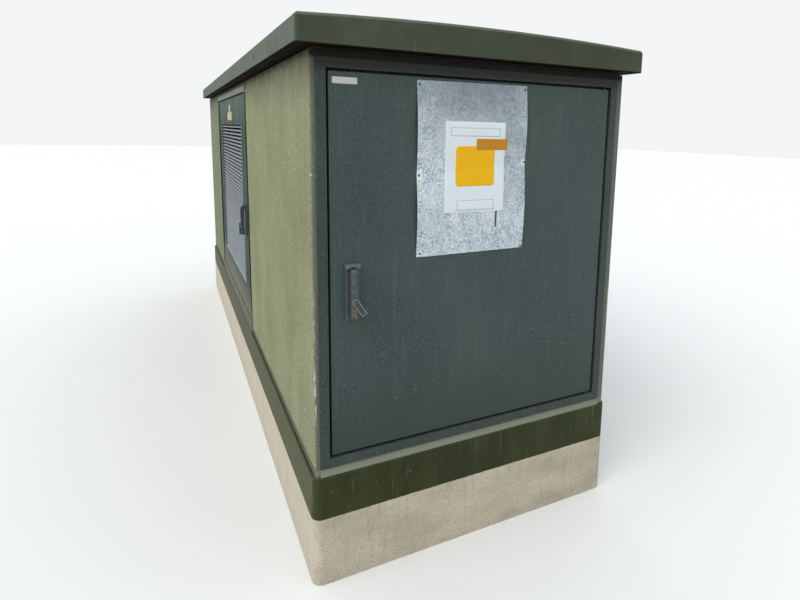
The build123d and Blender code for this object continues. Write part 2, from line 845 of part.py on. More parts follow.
def transformer_tank():
    half_x, half_y = tank_width / 2, tank_length / 2
    body = block(-half_x, half_x, -half_y, half_y, tank_bottom, tank_top)
    body = fillet(edges_along(body, Axis.Z), tank_corner_radius)
    pieces = []
    fin_low = tank_bottom + fin_bottom_gap
    fin_high = fin_low + fin_height
    reach = half_x + fin_depth
    for y in spread(side_fins, tank_length - 2 * fin_margin):
        pieces.append(block(-reach, reach, y - fin_thickness / 2, y + fin_thickness / 2, fin_low, fin_high))
    reach = half_y + end_fin_depth
    for x in spread(end_fins, tank_width - 2 * fin_margin):
        pieces.append(block(x - fin_thickness / 2, x + fin_thickness / 2, -reach, reach, fin_low, fin_high))
    for side in (-1, 1):
        x = side * skid_spacing / 2
        pieces.append(block(x - skid_width / 2, x + skid_width / 2, -half_y, half_y,
                            skid_bottom, tank_bottom))
    flange = block(-half_x - tank_flange, half_x + tank_flange, -half_y - tank_flange, half_y + tank_flange,
                   tank_top - tank_flange_thickness, tank_top)
    tank = body + pieces + [flange]
    cavity = block(-half_x + tank_wall, half_x - tank_wall, -half_y + tank_wall, half_y - tank_wall,
                   tank_bottom + tank_wall, tank_top + 1)
    return Pos(0, bay_middle, 0) * (tank - cavity)


def transformer_cover():
    half_x, half_y = tank_width / 2 + tank_flange, tank_length / 2 + tank_flange
    plate = block(-half_x, half_x, -half_y, half_y, tank_top, cover_top)
    head = extrude(RegularPolygon(cover_bolt_radius, 6), amount=cover_bolt_height)
    inset = tank_flange / 2
    bolts = []
    for y in spread(cover_bolts_long, 2 * half_y - 2 * inset):
        for x in (-half_x + inset, half_x - inset):
            bolts.append(Pos(x, y, cover_top) * head)
    for x in spread(cover_bolts_short, 2 * half_x - 2 * inset)[1:-1]:
        for y in (-half_y + inset, half_y - inset):
            bolts.append(Pos(x, y, cover_top) * head)
    lugs = []
    for side in (-1, 1):
        y = side * (tank_length / 2 - lug_from_end)
        lug = block(-lug_thickness / 2, lug_thickness / 2, y - lug_width / 2, y + lug_width / 2,
                    cover_top, cover_top + lug_height)
        eye_z = cover_top + lug_height - lug_eye_radius - lug_eye_drop
        lug -= post_x(-lug_thickness, lug_thickness, y, eye_z, lug_eye_radius)
        lug_x = half_x - lug_inset - lug_thickness / 2
        lugs += [Pos(-lug_x, 0, 0) * lug, Pos(lug_x, 0, 0) * lug]
    filler = post_z(-knob_x, 0, cover_top, cover_top + filler_height, filler_radius)
    filler += post_z(-knob_x, 0, cover_top + filler_height - filler_cap_height, cover_top + filler_height,
                     filler_radius + filler_cap_proud)
    knob_boss = post_z(knob_x, 0, cover_top, cover_top + knob_boss_height, knob_stem_radius + knob_boss_wall)
    cover = plate + bolts + lugs + [filler, knob_boss]
    cover -= post_z(knob_x, 0, cover_top - knob_bore_depth, cover_top + knob_boss_height + 1,
                    knob_stem_radius + shaft_clearance)
    return Pos(0, bay_middle, 0) * cover


def tap_knob():
    """A round knob with a pointer, on a stem in the cover's boss."""
    low = cover_top - knob_bore_depth + part_play
    top = cover_top + knob_stem_height
    part = post_z(knob_x, 0, low, top, knob_stem_radius)
    grip = post_z(knob_x, 0, top, top + knob_height, knob_radius)
    reach = knob_radius + knob_flute_out
    for index in range(knob_flutes):
        angle = 2 * math.pi * index / knob_flutes
        grip -= post_z(knob_x + reach * math.cos(angle), reach * math.sin(angle), top - 1,
                       top + knob_height + 1, knob_flute_radius)
    pointer = block(knob_x - knob_pointer, knob_x + knob_pointer, 0, reach - knob_flute_radius - 1,
                    top + knob_height, top + knob_height + knob_pointer)
    return Pos(0, bay_middle, 0) * (part + [grip, pointer])


core_bottom = tank_bottom + tank_wall


def transformer_core():
    """Three limbs between two yokes, on two feet."""
    half = core_length / 2
    low = core_bottom + core_foot
    high = low + core_height
    core = block(-core_depth / 2, core_depth / 2, -half, half, low, high)
    window = (core_length - 3 * core_limb) / 2
    for side in (-1, 1):
        y0 = min(side * core_limb / 2, side * (core_limb / 2 + window))
        core -= block(-core_depth, core_depth, y0, y0 + window, low + core_limb, high - core_limb)
    for side in (-1, 1):
        y = side * (half - core_foot)
        core += block(-core_depth / 2 - 20, core_depth / 2 + 20, y - core_foot / 2, y + core_foot / 2,
                      core_bottom, low)
    return Pos(0, bay_middle, 0) * core


def transformer_windings():
    """One coil round each limb, standing on the lower yoke."""
    low = core_bottom + core_foot + core_limb
    pitch = (core_length - core_limb) / 2
    bore = core_limb / 2 + coil_play
    coils = []
    for index in (-1, 0, 1):
        coil = post_z(0, index * pitch, low, low + coil_height, coil_radius)
        coil -= block(-bore, bore, index * pitch - bore, index * pitch + bore, low - 1, low + coil_height + 1)
        coils.append(coil)
    return Pos(0, bay_middle, 0) * group(coils)


def shed_profile(radius, height, sheds, shed_reach):
    """Half section of an insulator with sloping sheds, from its foot on the axis to its top."""
    points = [(0, 0), (radius, 0)]
    pitch = height / (sheds + 1)
    for index in range(sheds):
        z = (index + 0.5) * pitch
        points += [(radius, z), (radius + shed_reach, z), (radius, z + pitch / 2)]
    points += [(radius * 0.8, height), (0, height)]
    return points


def insulator(radius, height, sheds, shed_reach):
    outline = Polyline(*shed_profile(radius, height, sheds, shed_reach), close=True)
    return revolve(Plane.XZ * make_face(outline), Axis.Z)


def hv_bushings():
    """Three insulators, each with the elbow connector that the cable plugs into."""
    parts = []
    for x in hv_places():
        body = Pos(x, hv_y, cover_top) * insulator(hv_radius, hv_height, hv_sheds, hv_shed_reach)
        elbow = post_z(x, hv_y, cover_top + hv_height, cover_top + hv_height + elbow_height, elbow_radius)
        elbow += post_y(x, hv_y - elbow_reach, hv_y, cable_top, elbow_hood_radius)
        parts.append(body + elbow)
    return group(parts)


def hv_places():
    return [(index - 1) * hv_spacing for index in range(3)]


def cable_places():
    return [(index - 1) * cable_spacing for index in range(3)]


def lv_places():
    return [(index - 1.5) * lv_spacing for index in range(4)]


def lv_bushings():
    """Four short insulators with flat terminals."""
    parts = []
    for x in lv_places():
        body = Pos(x, lv_y, cover_top) * insulator(lv_radius, lv_height, lv_sheds, lv_shed_reach)
        half = lv_terminal_width / 2
        body += block(x - half, x + half, lv_y - half, lv_y + half, cover_top + lv_height,
                      cover_top + lv_height + lv_terminal_thickness)
        parts.append(body)
    return group(parts)


# Cables and bars

switchgear_face = front + switchgear_from_front
switchgear_back = switchgear_face + switchgear_depth
cable_riser_y = bay_middle - tank_length / 2 - end_fin_depth - cable_riser_gap


def mv_cables():
    """Three cables from the switchgear's back, up the end of the tank and over to the bushings."""
    cables = []
    start_y = switchgear_back + gland_length
    end_y = hv_y - elbow_reach
    for x0, x1 in zip(cable_places(), hv_places()):
        route = [
            (x0, start_y, cable_height),
            (x0, cable_riser_y, cable_height),
            (x1, cable_riser_y, cable_top),
            (x1, end_y, cable_top),
        ]
        path = FilletPolyline(*route, radius=list(cable_bend))
        start = Plane(origin=route[0], z_dir=(0, 1, 0))
        cable = sweep(start * Circle(cable_radius), path=path)
        print("cable", round(path.length), "mm, volume ratio",
              round(cable.volume / (math.pi * cable_radius ** 2 * path.length), 4))
        cables.append(cable)
    print("cable bend radii", cable_bend)
    return group(cables)


def lv_link_bars():
    """Four flat bars from the transformer's terminals to the top of the main switch."""
    bars = []
    t = link_bar_thickness
    z = link_height
    y0, y1 = lv_y - lv_terminal_width / 2, main_terminal_y
    for x in lv_places():
        level = block(x - link_bar_width / 2, x + link_bar_width / 2, y0, y1 + t / 2, z - t / 2, z + t / 2)
        leg = block(x - link_bar_width / 2, x + link_bar_width / 2, y1 - t / 2, y1 + t / 2,
                    main_switch_top, z + t / 2)
        bar = level + leg
        corner = [edge for edge in edges_along(bar, Axis.X) if edge.center().Y > y1 and edge.center().Z > z]
        bar = fillet(corner, link_bend)
        bars.append(bar)
    return group(bars)


# Switchgear

room_top = base_height + plinth_height + cable_room_height
housing_bottom = base_height + plinth_height
housing_top = housing_bottom + switchgear_height


def switchgear_housing():
    """A folded cabinet: cable room below, closed by its own cover, and the mechanism room above."""
    half = switchgear_width / 2
    t = housing_sheet
    box = block(-half, half, switchgear_face, switchgear_back, housing_bottom, housing_top)
    box -= block(-half + t, half - t, switchgear_face + t, switchgear_back - t, room_top + t, housing_top - t)
    box -= block(-half + t, half - t, switchgear_face + t, switchgear_back - t, housing_bottom - 1, room_top)
    edge = room_cover_margin
    box -= block(-half + edge, half - edge, switchgear_face - 1, switchgear_face + t + 1,
                 housing_bottom + edge, room_top - edge)
    pieces = []
    cone_wall = switchgear_face + cone_back
    pieces.append(block(-half + t / 2, half - t / 2, cone_wall, cone_wall + t,
                        room_top - cone_wall_height, room_top + t / 2))
    for group_x in shaft_places():
        for phase in (-1, 0, 1):
            place = Pos(group_x + phase * cone_spacing, cone_wall - cone_length / 2, room_top - cone_drop)
            pieces.append(place * Rot(90, 0, 0) * Cone(cone_radius, cone_tip_radius, cone_length))
    for y in (switchgear_face + plinth_inset, switchgear_back - plinth_inset):
        foot = block(-inner_half_width + 5, inner_half_width - 5, y - plinth_width / 2, y + plinth_width / 2,
                     base_height, housing_bottom)
        foot -= block(-inner_half_width + 5, inner_half_width - 5, y - plinth_width / 2 + plinth_sheet,
                      y + plinth_width / 2 - plinth_sheet, base_height - 1, housing_bottom - plinth_sheet)
        pieces.append(foot)
    for x in shaft_places():
        pieces.append(post_y(x, switchgear_face - shaft_bearing_length, switchgear_face + t / 2, shaft_height,
                             shaft_bearing_radius))
    for x in cable_places():
        pieces.append(post_y(x, switchgear_back - t / 2, switchgear_back + gland_length,
                             cable_height, gland_radius))
    housing = box + pieces
    for x in shaft_places():
        housing -= post_y(x, switchgear_face - 40, switchgear_face + 40, shaft_height,
                          shaft_radius + shaft_clearance)
    return housing


def shaft_places():
    return (-shaft_spacing, 0, shaft_spacing)


shaft_height = room_top + shaft_above_room


def operating_shaft(x):
    """A shaft with a hexagonal socket for the operating lever and a pointer."""
    y0 = switchgear_face - shaft_proud
    shaft = post_y(x, y0, y0 + shaft_length, shaft_height, shaft_radius)
    collar = post_y(x, y0, switchgear_face - shaft_bearing_length - part_play, shaft_height,
                    shaft_radius + shaft_collar)
    inner_collar = post_y(x, switchgear_face + housing_sheet + part_play, y0 + shaft_length, shaft_height,
                          shaft_radius + shaft_collar)
    half_pointer = shaft_pointer_width / 2
    pointer = block(x - half_pointer, x + half_pointer, y0, y0 + shaft_pointer_thickness, shaft_height,
                    shaft_height + shaft_radius + shaft_pointer_reach)
    shaft = shaft + [collar, inner_collar, pointer]
    socket = extrude(RegularPolygon(shaft_hole_radius, 6), amount=shaft_socket_depth + 1)
    return shaft - Pos(x, y0 - 1, shaft_height) * Rot(-90, 0, 0) * socket


def switchgear_cable_cover():
    """The sheet that closes the cable room, with a folded rim and two hooks over the housing's edge."""
    half = switchgear_width / 2
    low, high = housing_bottom + room_cover_inset, room_top - room_cover_inset
    y1 = switchgear_face
    side = half - room_cover_inset
    depth = room_cover_depth
    sheet = block(-side, side, y1 - depth, y1, low, high)
    sheet = fillet(sheet.faces().sort_by(Axis.Y)[0].edges(), room_cover_sheet)
    t = room_cover_sheet
    sheet -= block(-side + t, side - t, y1 - depth + t, y1 + 1, low + t, high - t)
    handles = []
    for side in (-1, 1):
        x = side * half / 2
        reach, bar = grip_width / 2, grip_bar
        z = high - grip_drop
        grip = block(x - reach, x + reach, y1 - depth - grip_reach, y1 - depth + t / 2, z - bar, z)
        grip -= block(x - reach + bar, x + reach - bar, y1 - depth - grip_reach + bar, y1, z - 2 * bar,
                      z + bar)
        handles.append(grip)
    return sheet + handles


# Low-voltage board

board_y = rear_partition_y + partition_depth + board_gap
main_switch_y = board_y + board_sheet
main_terminal_y = main_switch_y + main_switch_depth * 0.5
busbar_y = board_y + board_sheet + busbar_standoff
main_switch_bottom = main_switch_top - main_switch_height
main_pivot_z = main_switch_bottom + main_switch_height / 2
main_pivot_y = main_switch_y + main_switch_depth + main_pivot_ahead
strip_y = busbar_y + busbar_thickness
strip_front = strip_y + strip_depth
strip_pivot_y = strip_front + strip_pivot_ahead
strip_pivot_z = strip_bottom + strip_pivot_above


def busbar_heights():
    return [busbar_top - index * busbar_pitch for index in range(4)]


def lv_board():
    """A flanged panel on the side shelves of the base, with the pegs that carry the busbars."""
    half = board_width / 2
    top = base_height + board_height
    panel = block(-half, half, board_y, board_y + board_flange, base_height, top)
    panel -= block(-half + board_sheet, half - board_sheet, board_y + board_sheet, board_y + board_flange + 1,
                   base_height + board_sheet, top - board_sheet)
    pegs = []
    peg_x = busbar_length / 2 - peg_from_end
    for z in busbar_heights():
        for x in (-peg_x, peg_x):
            pegs.append(post_y(x, board_y + board_sheet / 2, busbar_y, z, busbar_peg_radius))
    return panel + pegs


def lv_busbars():
    """Four flat bars, each with a riser to the bottom of the main switch."""
    bars = []
    half = busbar_height / 2
    riser_y = busbar_y - 2 * busbar_thickness
    for index, z in enumerate(busbar_heights()):
        x = (index - 1.5) * riser_spacing
        bar = block(-busbar_length / 2, busbar_length / 2, busbar_y, busbar_y + busbar_thickness,
                    z - half, z + half)
        side = riser_width / 2
        pad = block(x - side, x + side, riser_y, busbar_y, z - half, z + half)
        riser = block(x - side, x + side, riser_y, riser_y + busbar_thickness, z - half, main_switch_bottom)
        bars.append(bar + [pad, riser])
    return group(bars)


def lv_main_switch():
    """A moulded switch body with two ears for its lever."""
    half = main_switch_width / 2
    y1 = main_switch_y + main_switch_depth
    body = block(-half, half, main_switch_y, y1, main_switch_bottom, main_switch_top)
    body = fillet(edges_along(body, Axis.Z), main_switch_corner)
    ears = []
    ear = main_ear_width / 2
    radius = main_ear_radius
    for side in (-1, 1):
        x = side * (main_lever_hub_width / 2 + ear + part_play)
        ears.append(block(x - ear, x + ear, y1 - 1, main_pivot_y, main_pivot_z - radius,
                          main_pivot_z + radius))
        ears.append(post_x(x - ear, x + ear, main_pivot_y, main_pivot_z, radius))
    body = body + ears
    reach = main_lever_hub_width / 2 + main_ear_width + 1
    return body - post_x(-reach, reach, main_pivot_y, main_pivot_z, main_pin_radius + shaft_clearance)


def lv_main_lever():
    """A hub with its pins and a round grip that hangs down with the switch open."""
    half = main_lever_hub_width / 2
    hub = post_x(-half, half, main_pivot_y, main_pivot_z, main_lever_hub_radius)
    pins = post_x(-half - main_ear_width, half + main_ear_width, main_pivot_y, main_pivot_z, main_pin_radius)
    grip = post_z(0, main_pivot_y + main_grip_ahead, main_pivot_z - main_lever_length,
                  main_pivot_z - main_lever_radius / 2, main_lever_radius)
    return hub + [pins, grip]


def strip_places():
    return (-strip_spacing, 0, strip_spacing)


def fuse_strips():
    """Three fuse switch bodies on the busbars, each with two ears for its handle."""
    strips = []
    for x in strip_places():
        half = strip_width / 2
        body = block(x - half, x + half, strip_y, strip_front, strip_bottom, strip_bottom + strip_height)
        body = fillet(edges_along(body, Axis.Z), strip_corner)
        ear, reach = strip_ear_width / 2, strip_ear_reach
        for side in (-1, 1):
            ear_x = x + side * (half - ear)
            body += block(ear_x - ear, ear_x + ear, strip_front - 1, strip_pivot_y + reach,
                          strip_pivot_z - reach, strip_pivot_z + reach)
        body -= post_x(x - half - 1, x + half + 1, strip_pivot_y, strip_pivot_z,
                       strip_pivot_radius + shaft_clearance)
        strips.append(body)
    return group(strips)


def fuse_handle(x):
    """A lid that tilts out about its lower edge and carries the fuse links."""
    half = strip_width / 2 - strip_ear_width - strip_handle_side_gap
    low = strip_pivot_z - strip_handle_heel
    high = low + strip_handle_height
    back = strip_pivot_y - strip_handle_heel
    face = strip_front + strip_handle_depth
    wall = strip_handle_wall
    lid = block(x - half, x + half, back, face, low, high)
    lid = fillet(edges_along(lid, Axis.X).sort_by(Axis.Y)[-2:], strip_handle_corner)
    lid -= block(x - half + wall, x + half - wall, back - 1, face - strip_handle_front,
                 low + strip_handle_foot, high - wall)
    reach = strip_grip_width / 2
    grip = block(x - reach, x + reach, face - 1, face + strip_grip_reach,
                 high - strip_grip_drop - strip_grip_height, high - strip_grip_drop)
    pin_end = strip_width / 2 - strip_pin_inset
    pins = post_x(x - pin_end, x + pin_end, strip_pivot_y, strip_pivot_z, strip_pivot_radius)
    return lid + [grip, pins]


# Export

nodes = {
    "base_casting": base_casting(),
    "wall_casting": wall_casting(),
    "roof_slab": roof_slab(),
    "roof_seal": roof_seal_strip(),
    "switchgear_partition": switchgear_partition(),
    "lv_partition": lv_partition(),
    "transformer_rails": transformer_rails(),
    "transformer_tank": transformer_tank(),
    "transformer_cover": transformer_cover(),
    "transformer_core": transformer_core(),
    "transformer_windings": transformer_windings(),
    "hv_bushings": hv_bushings(),
    "lv_bushings": lv_bushings(),
    "tap_changer_knob": tap_knob(),
    "mv_cables": mv_cables(),
    "lv_link_bars": lv_link_bars(),
    "switchgear_housing": switchgear_housing(),
    "switchgear_cable_cover": switchgear_cable_cover(),
    "lv_board": lv_board(),
    "lv_busbars": lv_busbars(),
    "lv_main_switch": lv_main_switch(),
    "lv_main_switch_lever": lv_main_lever(),
    "lv_fuse_switches": fuse_strips(),
}
for name, x in zip(("left", "middle", "right"), shaft_places()):
    nodes["switch_shaft_" + name] = operating_shaft(x)
for name, x in zip(("left", "middle", "right"), strip_places()):
    nodes["fuse_handle_" + name] = fuse_handle(x)

for face, door in doors.items():
    place = place_on(face)
    pieces = {
        "door_frame": door_frame(door),
        "door_leaf": door_leaf(door),
        "handle_plate": handle_plate(door),
        "handle_spindle": spindle(door),
        "handle_lever": lever(door),
        "lock_cylinder": lock_cylinder(door),
        "lock_cover": lock_cover(door),
        "upper_rod": rod(door, 1),
        "lower_rod": rod(door, -1),
    }
    if door["louvred"]:
        pieces["louvre"] = louvre()
    else:
        pieces["door_seal"] = door_seal(door)
    if face == "front":
        pieces["galvanised_plate"] = galvanised_plate()
    for name, shape in pieces.items():
        nodes[face + "_" + name] = place * shape

for name, shape in nodes.items():
    export_step(shape, f"parts/{name}.step")
print(len(nodes), "nodes")
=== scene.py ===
import bmesh
import bpy
import json
import math
import numpy as np
from mathutils import Matrix, Vector


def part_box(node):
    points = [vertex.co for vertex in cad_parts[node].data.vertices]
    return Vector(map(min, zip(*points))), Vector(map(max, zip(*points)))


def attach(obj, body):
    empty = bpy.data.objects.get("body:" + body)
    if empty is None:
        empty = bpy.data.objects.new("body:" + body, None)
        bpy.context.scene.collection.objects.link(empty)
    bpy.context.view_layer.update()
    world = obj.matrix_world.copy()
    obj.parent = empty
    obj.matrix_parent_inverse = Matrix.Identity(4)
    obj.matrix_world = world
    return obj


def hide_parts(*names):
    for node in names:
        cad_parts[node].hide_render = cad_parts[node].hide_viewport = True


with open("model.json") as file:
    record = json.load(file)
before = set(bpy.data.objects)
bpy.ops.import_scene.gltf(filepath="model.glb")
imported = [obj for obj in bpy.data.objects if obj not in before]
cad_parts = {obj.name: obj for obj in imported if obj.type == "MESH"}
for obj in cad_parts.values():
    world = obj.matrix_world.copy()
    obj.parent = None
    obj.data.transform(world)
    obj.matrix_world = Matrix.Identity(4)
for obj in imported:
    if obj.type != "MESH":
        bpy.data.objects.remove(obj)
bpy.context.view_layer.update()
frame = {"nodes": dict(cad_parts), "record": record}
nodes = frame["nodes"]
print("frame loaded:", len(nodes), "nodes")

# Lengths are metres. The kiosk stands on z = 0, its front door looks towards -Y and its louvre towards -X.
wallFront = -2.017
wallLeft = -0.625


# Camera and studio

camera = {
    "place": (-1.0157, -3.7201, 1.5612),
    "turnRight": 27.607,  # degrees
    "lookDown": 8.608,
    "lean": -1.307,
    "lens": 24.864,
    "sensor": 36.0,
    "shift": (-0.0678, -0.1082),
    "farthest": 200.0,
}

studio = {
    "floor": (0.73, 0.73, 0.72),
    "floorBounce": (0.29, 0.26, 0.21),  # what the floor gives back to the kiosk
    "floorReach": 40.0,
    "background": (0.90, 0.91, 0.92),
    "sky": (0.90, 0.95, 1.0),
    "skyOverhead": 1.29,
    "skyHorizon": 0.62,
    "skyFull": 0.8,  # share of the way up from which the sky is at its brightest
    "keyColour": (1.0, 0.97, 0.91),
    "keyStrength": 1.51,
    "keyFrom": (-1.0, -0.28, 0.95),
    "keySpread": 50.0,  # degrees
}


def makeCamera():
    # The columns of the turn are right, forward and up; a camera looks along its own -Z.
    turn = Matrix.Rotation(-math.radians(camera["turnRight"]), 4, "Z")
    turn @= Matrix.Rotation(-math.radians(camera["lookDown"]), 4, "X")
    turn @= Matrix.Rotation(math.radians(camera["lean"]), 4, "Y")
    turn @= Matrix.Rotation(math.pi / 2, 4, "X")
    data = bpy.data.cameras.new("camera")
    data.lens = camera["lens"]
    data.sensor_width = camera["sensor"]
    data.shift_x, data.shift_y = camera["shift"]
    data.clip_end = camera["farthest"]
    holder = bpy.data.objects.new("camera", data)
    holder.matrix_world = Matrix.Translation(camera["place"]) @ turn
    bpy.context.scene.collection.objects.link(holder)
    bpy.context.scene.camera = holder


def addNode(tree, kind, inputs=None, **settings):
    # One node; each input is a value or the output that feeds it
    node = tree.nodes.new(kind)
    for key, value in settings.items():
        setattr(node, key, value)
    for key, value in (inputs or {}).items():
        if isinstance(value, bpy.types.NodeSocket):
            tree.links.new(value, node.inputs[key])
        else:
            node.inputs[key].default_value = value
    return node


def seenRays(tree):
    # 1 for rays that show the backdrop itself: from the camera, mirrored or through glass
    rays = addNode(tree, "ShaderNodeLightPath").outputs
    seen = rays["Is Camera Ray"]
    for kind in ("Is Glossy Ray", "Is Transmission Ray"):
        seen = addNode(tree, "ShaderNodeMath", {0: seen, 1: rays[kind]}, operation="MAXIMUM").outputs[0]
    return seen


def makeWorld(scene):
    # The sky that lights the kiosk grows brighter from the horizon to overhead.
    world = bpy.data.worlds.new("studio")
    scene.world = world
    world.use_nodes = True
    tree = world.node_tree
    direction = addNode(tree, "ShaderNodeTexCoord").outputs["Generated"]
    height = addNode(tree, "ShaderNodeSeparateXYZ", {0: direction}).outputs["Z"]
    strength = addNode(tree, "ShaderNodeMapRange", {
        "Value": height, "From Min": 0.0, "From Max": studio["skyFull"],
        "To Min": studio["skyHorizon"], "To Max": studio["skyOverhead"]}).outputs["Result"]
    sky = addNode(tree, "ShaderNodeBackground", {"Color": (*studio["sky"], 1.0), "Strength": strength})
    backdrop = addNode(tree, "ShaderNodeBackground", {"Color": (*studio["background"], 1.0)})
    mixer = addNode(tree, "ShaderNodeMixShader", {
        0: seenRays(tree), 1: sky.outputs[0], 2: backdrop.outputs[0]})
    tree.links.new(mixer.outputs[0], tree.nodes["World Output"].inputs["Surface"])


def makeFloor(scene):
    reach = studio["floorReach"]
    corners = [(-reach, -reach, 0), (reach, -reach, 0), (reach, reach, 0), (-reach, reach, 0)]
    mesh = bpy.data.meshes.new("floor")
    mesh.from_pydata(corners, [], [(0, 1, 2, 3)])
    floor = bpy.data.objects.new("floor", mesh)
    scene.collection.objects.link(floor)
    material = plainMaterial("floorPaper", studio["floor"], 0.9)
    tree = material.node_tree
    colour = addNode(tree, "ShaderNodeMix", {
        "Factor": seenRays(tree), 6: (*studio["floorBounce"], 1.0), 7: (*studio["floor"], 1.0)},
        data_type="RGBA")
    tree.links.new(colour.outputs[2], tree.nodes["Principled BSDF"].inputs["Base Color"])
    mesh.materials.append(material)


def makeStudio():
    scene = bpy.context.scene
    scene.view_settings.view_transform = "Standard"
    makeWorld(scene)
    lamp = bpy.data.lights.new("key", "SUN")
    lamp.color = studio["keyColour"]
    lamp.energy = studio["keyStrength"]
    lamp.angle = math.radians(studio["keySpread"])
    holder = bpy.data.objects.new("key", lamp)
    holder.rotation_mode = "QUATERNION"
    holder.rotation_quaternion = Vector(studio["keyFrom"]).to_track_quat("Z", "Y")
    scene.collection.objects.link(holder)
    makeFloor(scene)


# Materials. Patterns read Object coordinates, in metres. In a look, a pair of heights or places tells where
# a change begins and where it is complete.

finishes = {}


def plainMaterial(name, colour, roughness, metallic=0.0):
    material = bpy.data.materials.new(name)
    material.use_nodes = True
    shader = material.node_tree.nodes["Principled BSDF"]
    shader.inputs["Base Color"].default_value = (*colour, 1.0)
    shader.inputs["Roughness"].default_value = roughness
    shader.inputs["Metallic"].default_value = metallic
    return material


class Finish:
    # A material made of layers: each mixes one colour of the look over the colour so far.
    def __init__(self, name, look, base, roughness, metallic=0.0, shine=0.5):
        self.look = look
        self.colour = look[base]
        self.material = plainMaterial(name, self.colour, roughness, metallic)
        self.tree = self.material.node_tree
        self.shader = self.tree.nodes["Principled BSDF"]
        self.shader.inputs["Specular IOR Level"].default_value = shine
        self.place = self.node("ShaderNodeTexCoord").outputs["Object"]
        self.x, self.y, self.z = self.node("ShaderNodeSeparateXYZ", {0: self.place}).outputs

    def node(self, kind, inputs=None, **settings):
        return addNode(self.tree, kind, inputs, **settings)

    def noise(self, size, stretch=(1, 1, 1), detail=3.0, roughness=0.55, turn=0.0):
        # Soft noise with features about size across, drawn out along the axes, then turned about Y
        place = {"Vector": self.place, "Rotation": (0.0, turn, 0.0), "Scale": stretch}
        vector = self.node("ShaderNodeMapping", place, vector_type="TEXTURE").outputs[0]
        inputs = {"Vector": vector, "Scale": 1 / size, "Detail": detail, "Roughness": roughness}
        return self.node("ShaderNodeTexNoise", inputs).outputs["Fac"]

    def cells(self, size):
        # Distance from the middle of the nearest of many scattered cells
        inputs = {"Vector": self.place, "Scale": 1 / size}
        return self.node("ShaderNodeTexVoronoi", inputs, feature="F1").outputs["Distance"]

    def ramp(self, value, low, high, toLow=0.0, toHigh=1.0):
        inputs = {"Value": value, "From Min": low, "From Max": high, "To Min": toLow, "To Max": toHigh}
        return self.node("ShaderNodeMapRange", inputs, clamp=True).outputs["Result"]

    def combine(self, operation, *values):
        # The first value with the second, then that result with the third, and so on
        result = values[0]
        for value in values[1:]:
            result = self.node("ShaderNodeMath", {0: result, 1: value}, operation=operation).outputs[0]
        return result

    def times(self, *values):
        return self.combine("MULTIPLY", *values)

    def larger(self, *values):
        return self.combine("MAXIMUM", *values)

    def absolute(self, value):
        return self.node("ShaderNodeMath", {0: value}, operation="ABSOLUTE").outputs[0]

    def band(self, value, low, high, soft):
        # 1 between low and high, falling to 0 over soft outside them
        return self.times(self.ramp(value, low - soft, low), self.ramp(value, high + soft, high))

    def patch(self, acrossRange, upRange, soft):
        # A soft-edged rectangle on a face that looks along Y
        return self.times(self.band(self.x, *acrossRange, soft), self.band(self.z, *upRange, soft))

    def mix(self, share, first, second):
        inputs = {"Factor": share}
        for slot, colour in ((6, first), (7, second)):
            inputs[slot] = (*colour, 1.0) if isinstance(colour, tuple) else colour
        return self.node("ShaderNodeMix", inputs, data_type="RGBA").outputs[2]

    def layer(self, key, *shares):
        # The shares multiply to how much of the look's colour covers what is there.
        self.colour = self.mix(self.times(*shares), self.colour, self.look[key])

    def bump(self, height, depth, strength):
        inputs = {"Height": height, "Distance": depth, "Strength": strength}
        if self.shader.inputs["Normal"].is_linked:
            inputs["Normal"] = self.shader.inputs["Normal"].links[0].from_socket
        self.set("Normal", self.node("ShaderNodeBump", inputs).outputs["Normal"])

    def set(self, name, value):
        self.tree.links.new(value, self.shader.inputs[name])

    def keep(self, slot):
        self.set("Base Color", self.colour)
        finishes[slot] = self.material


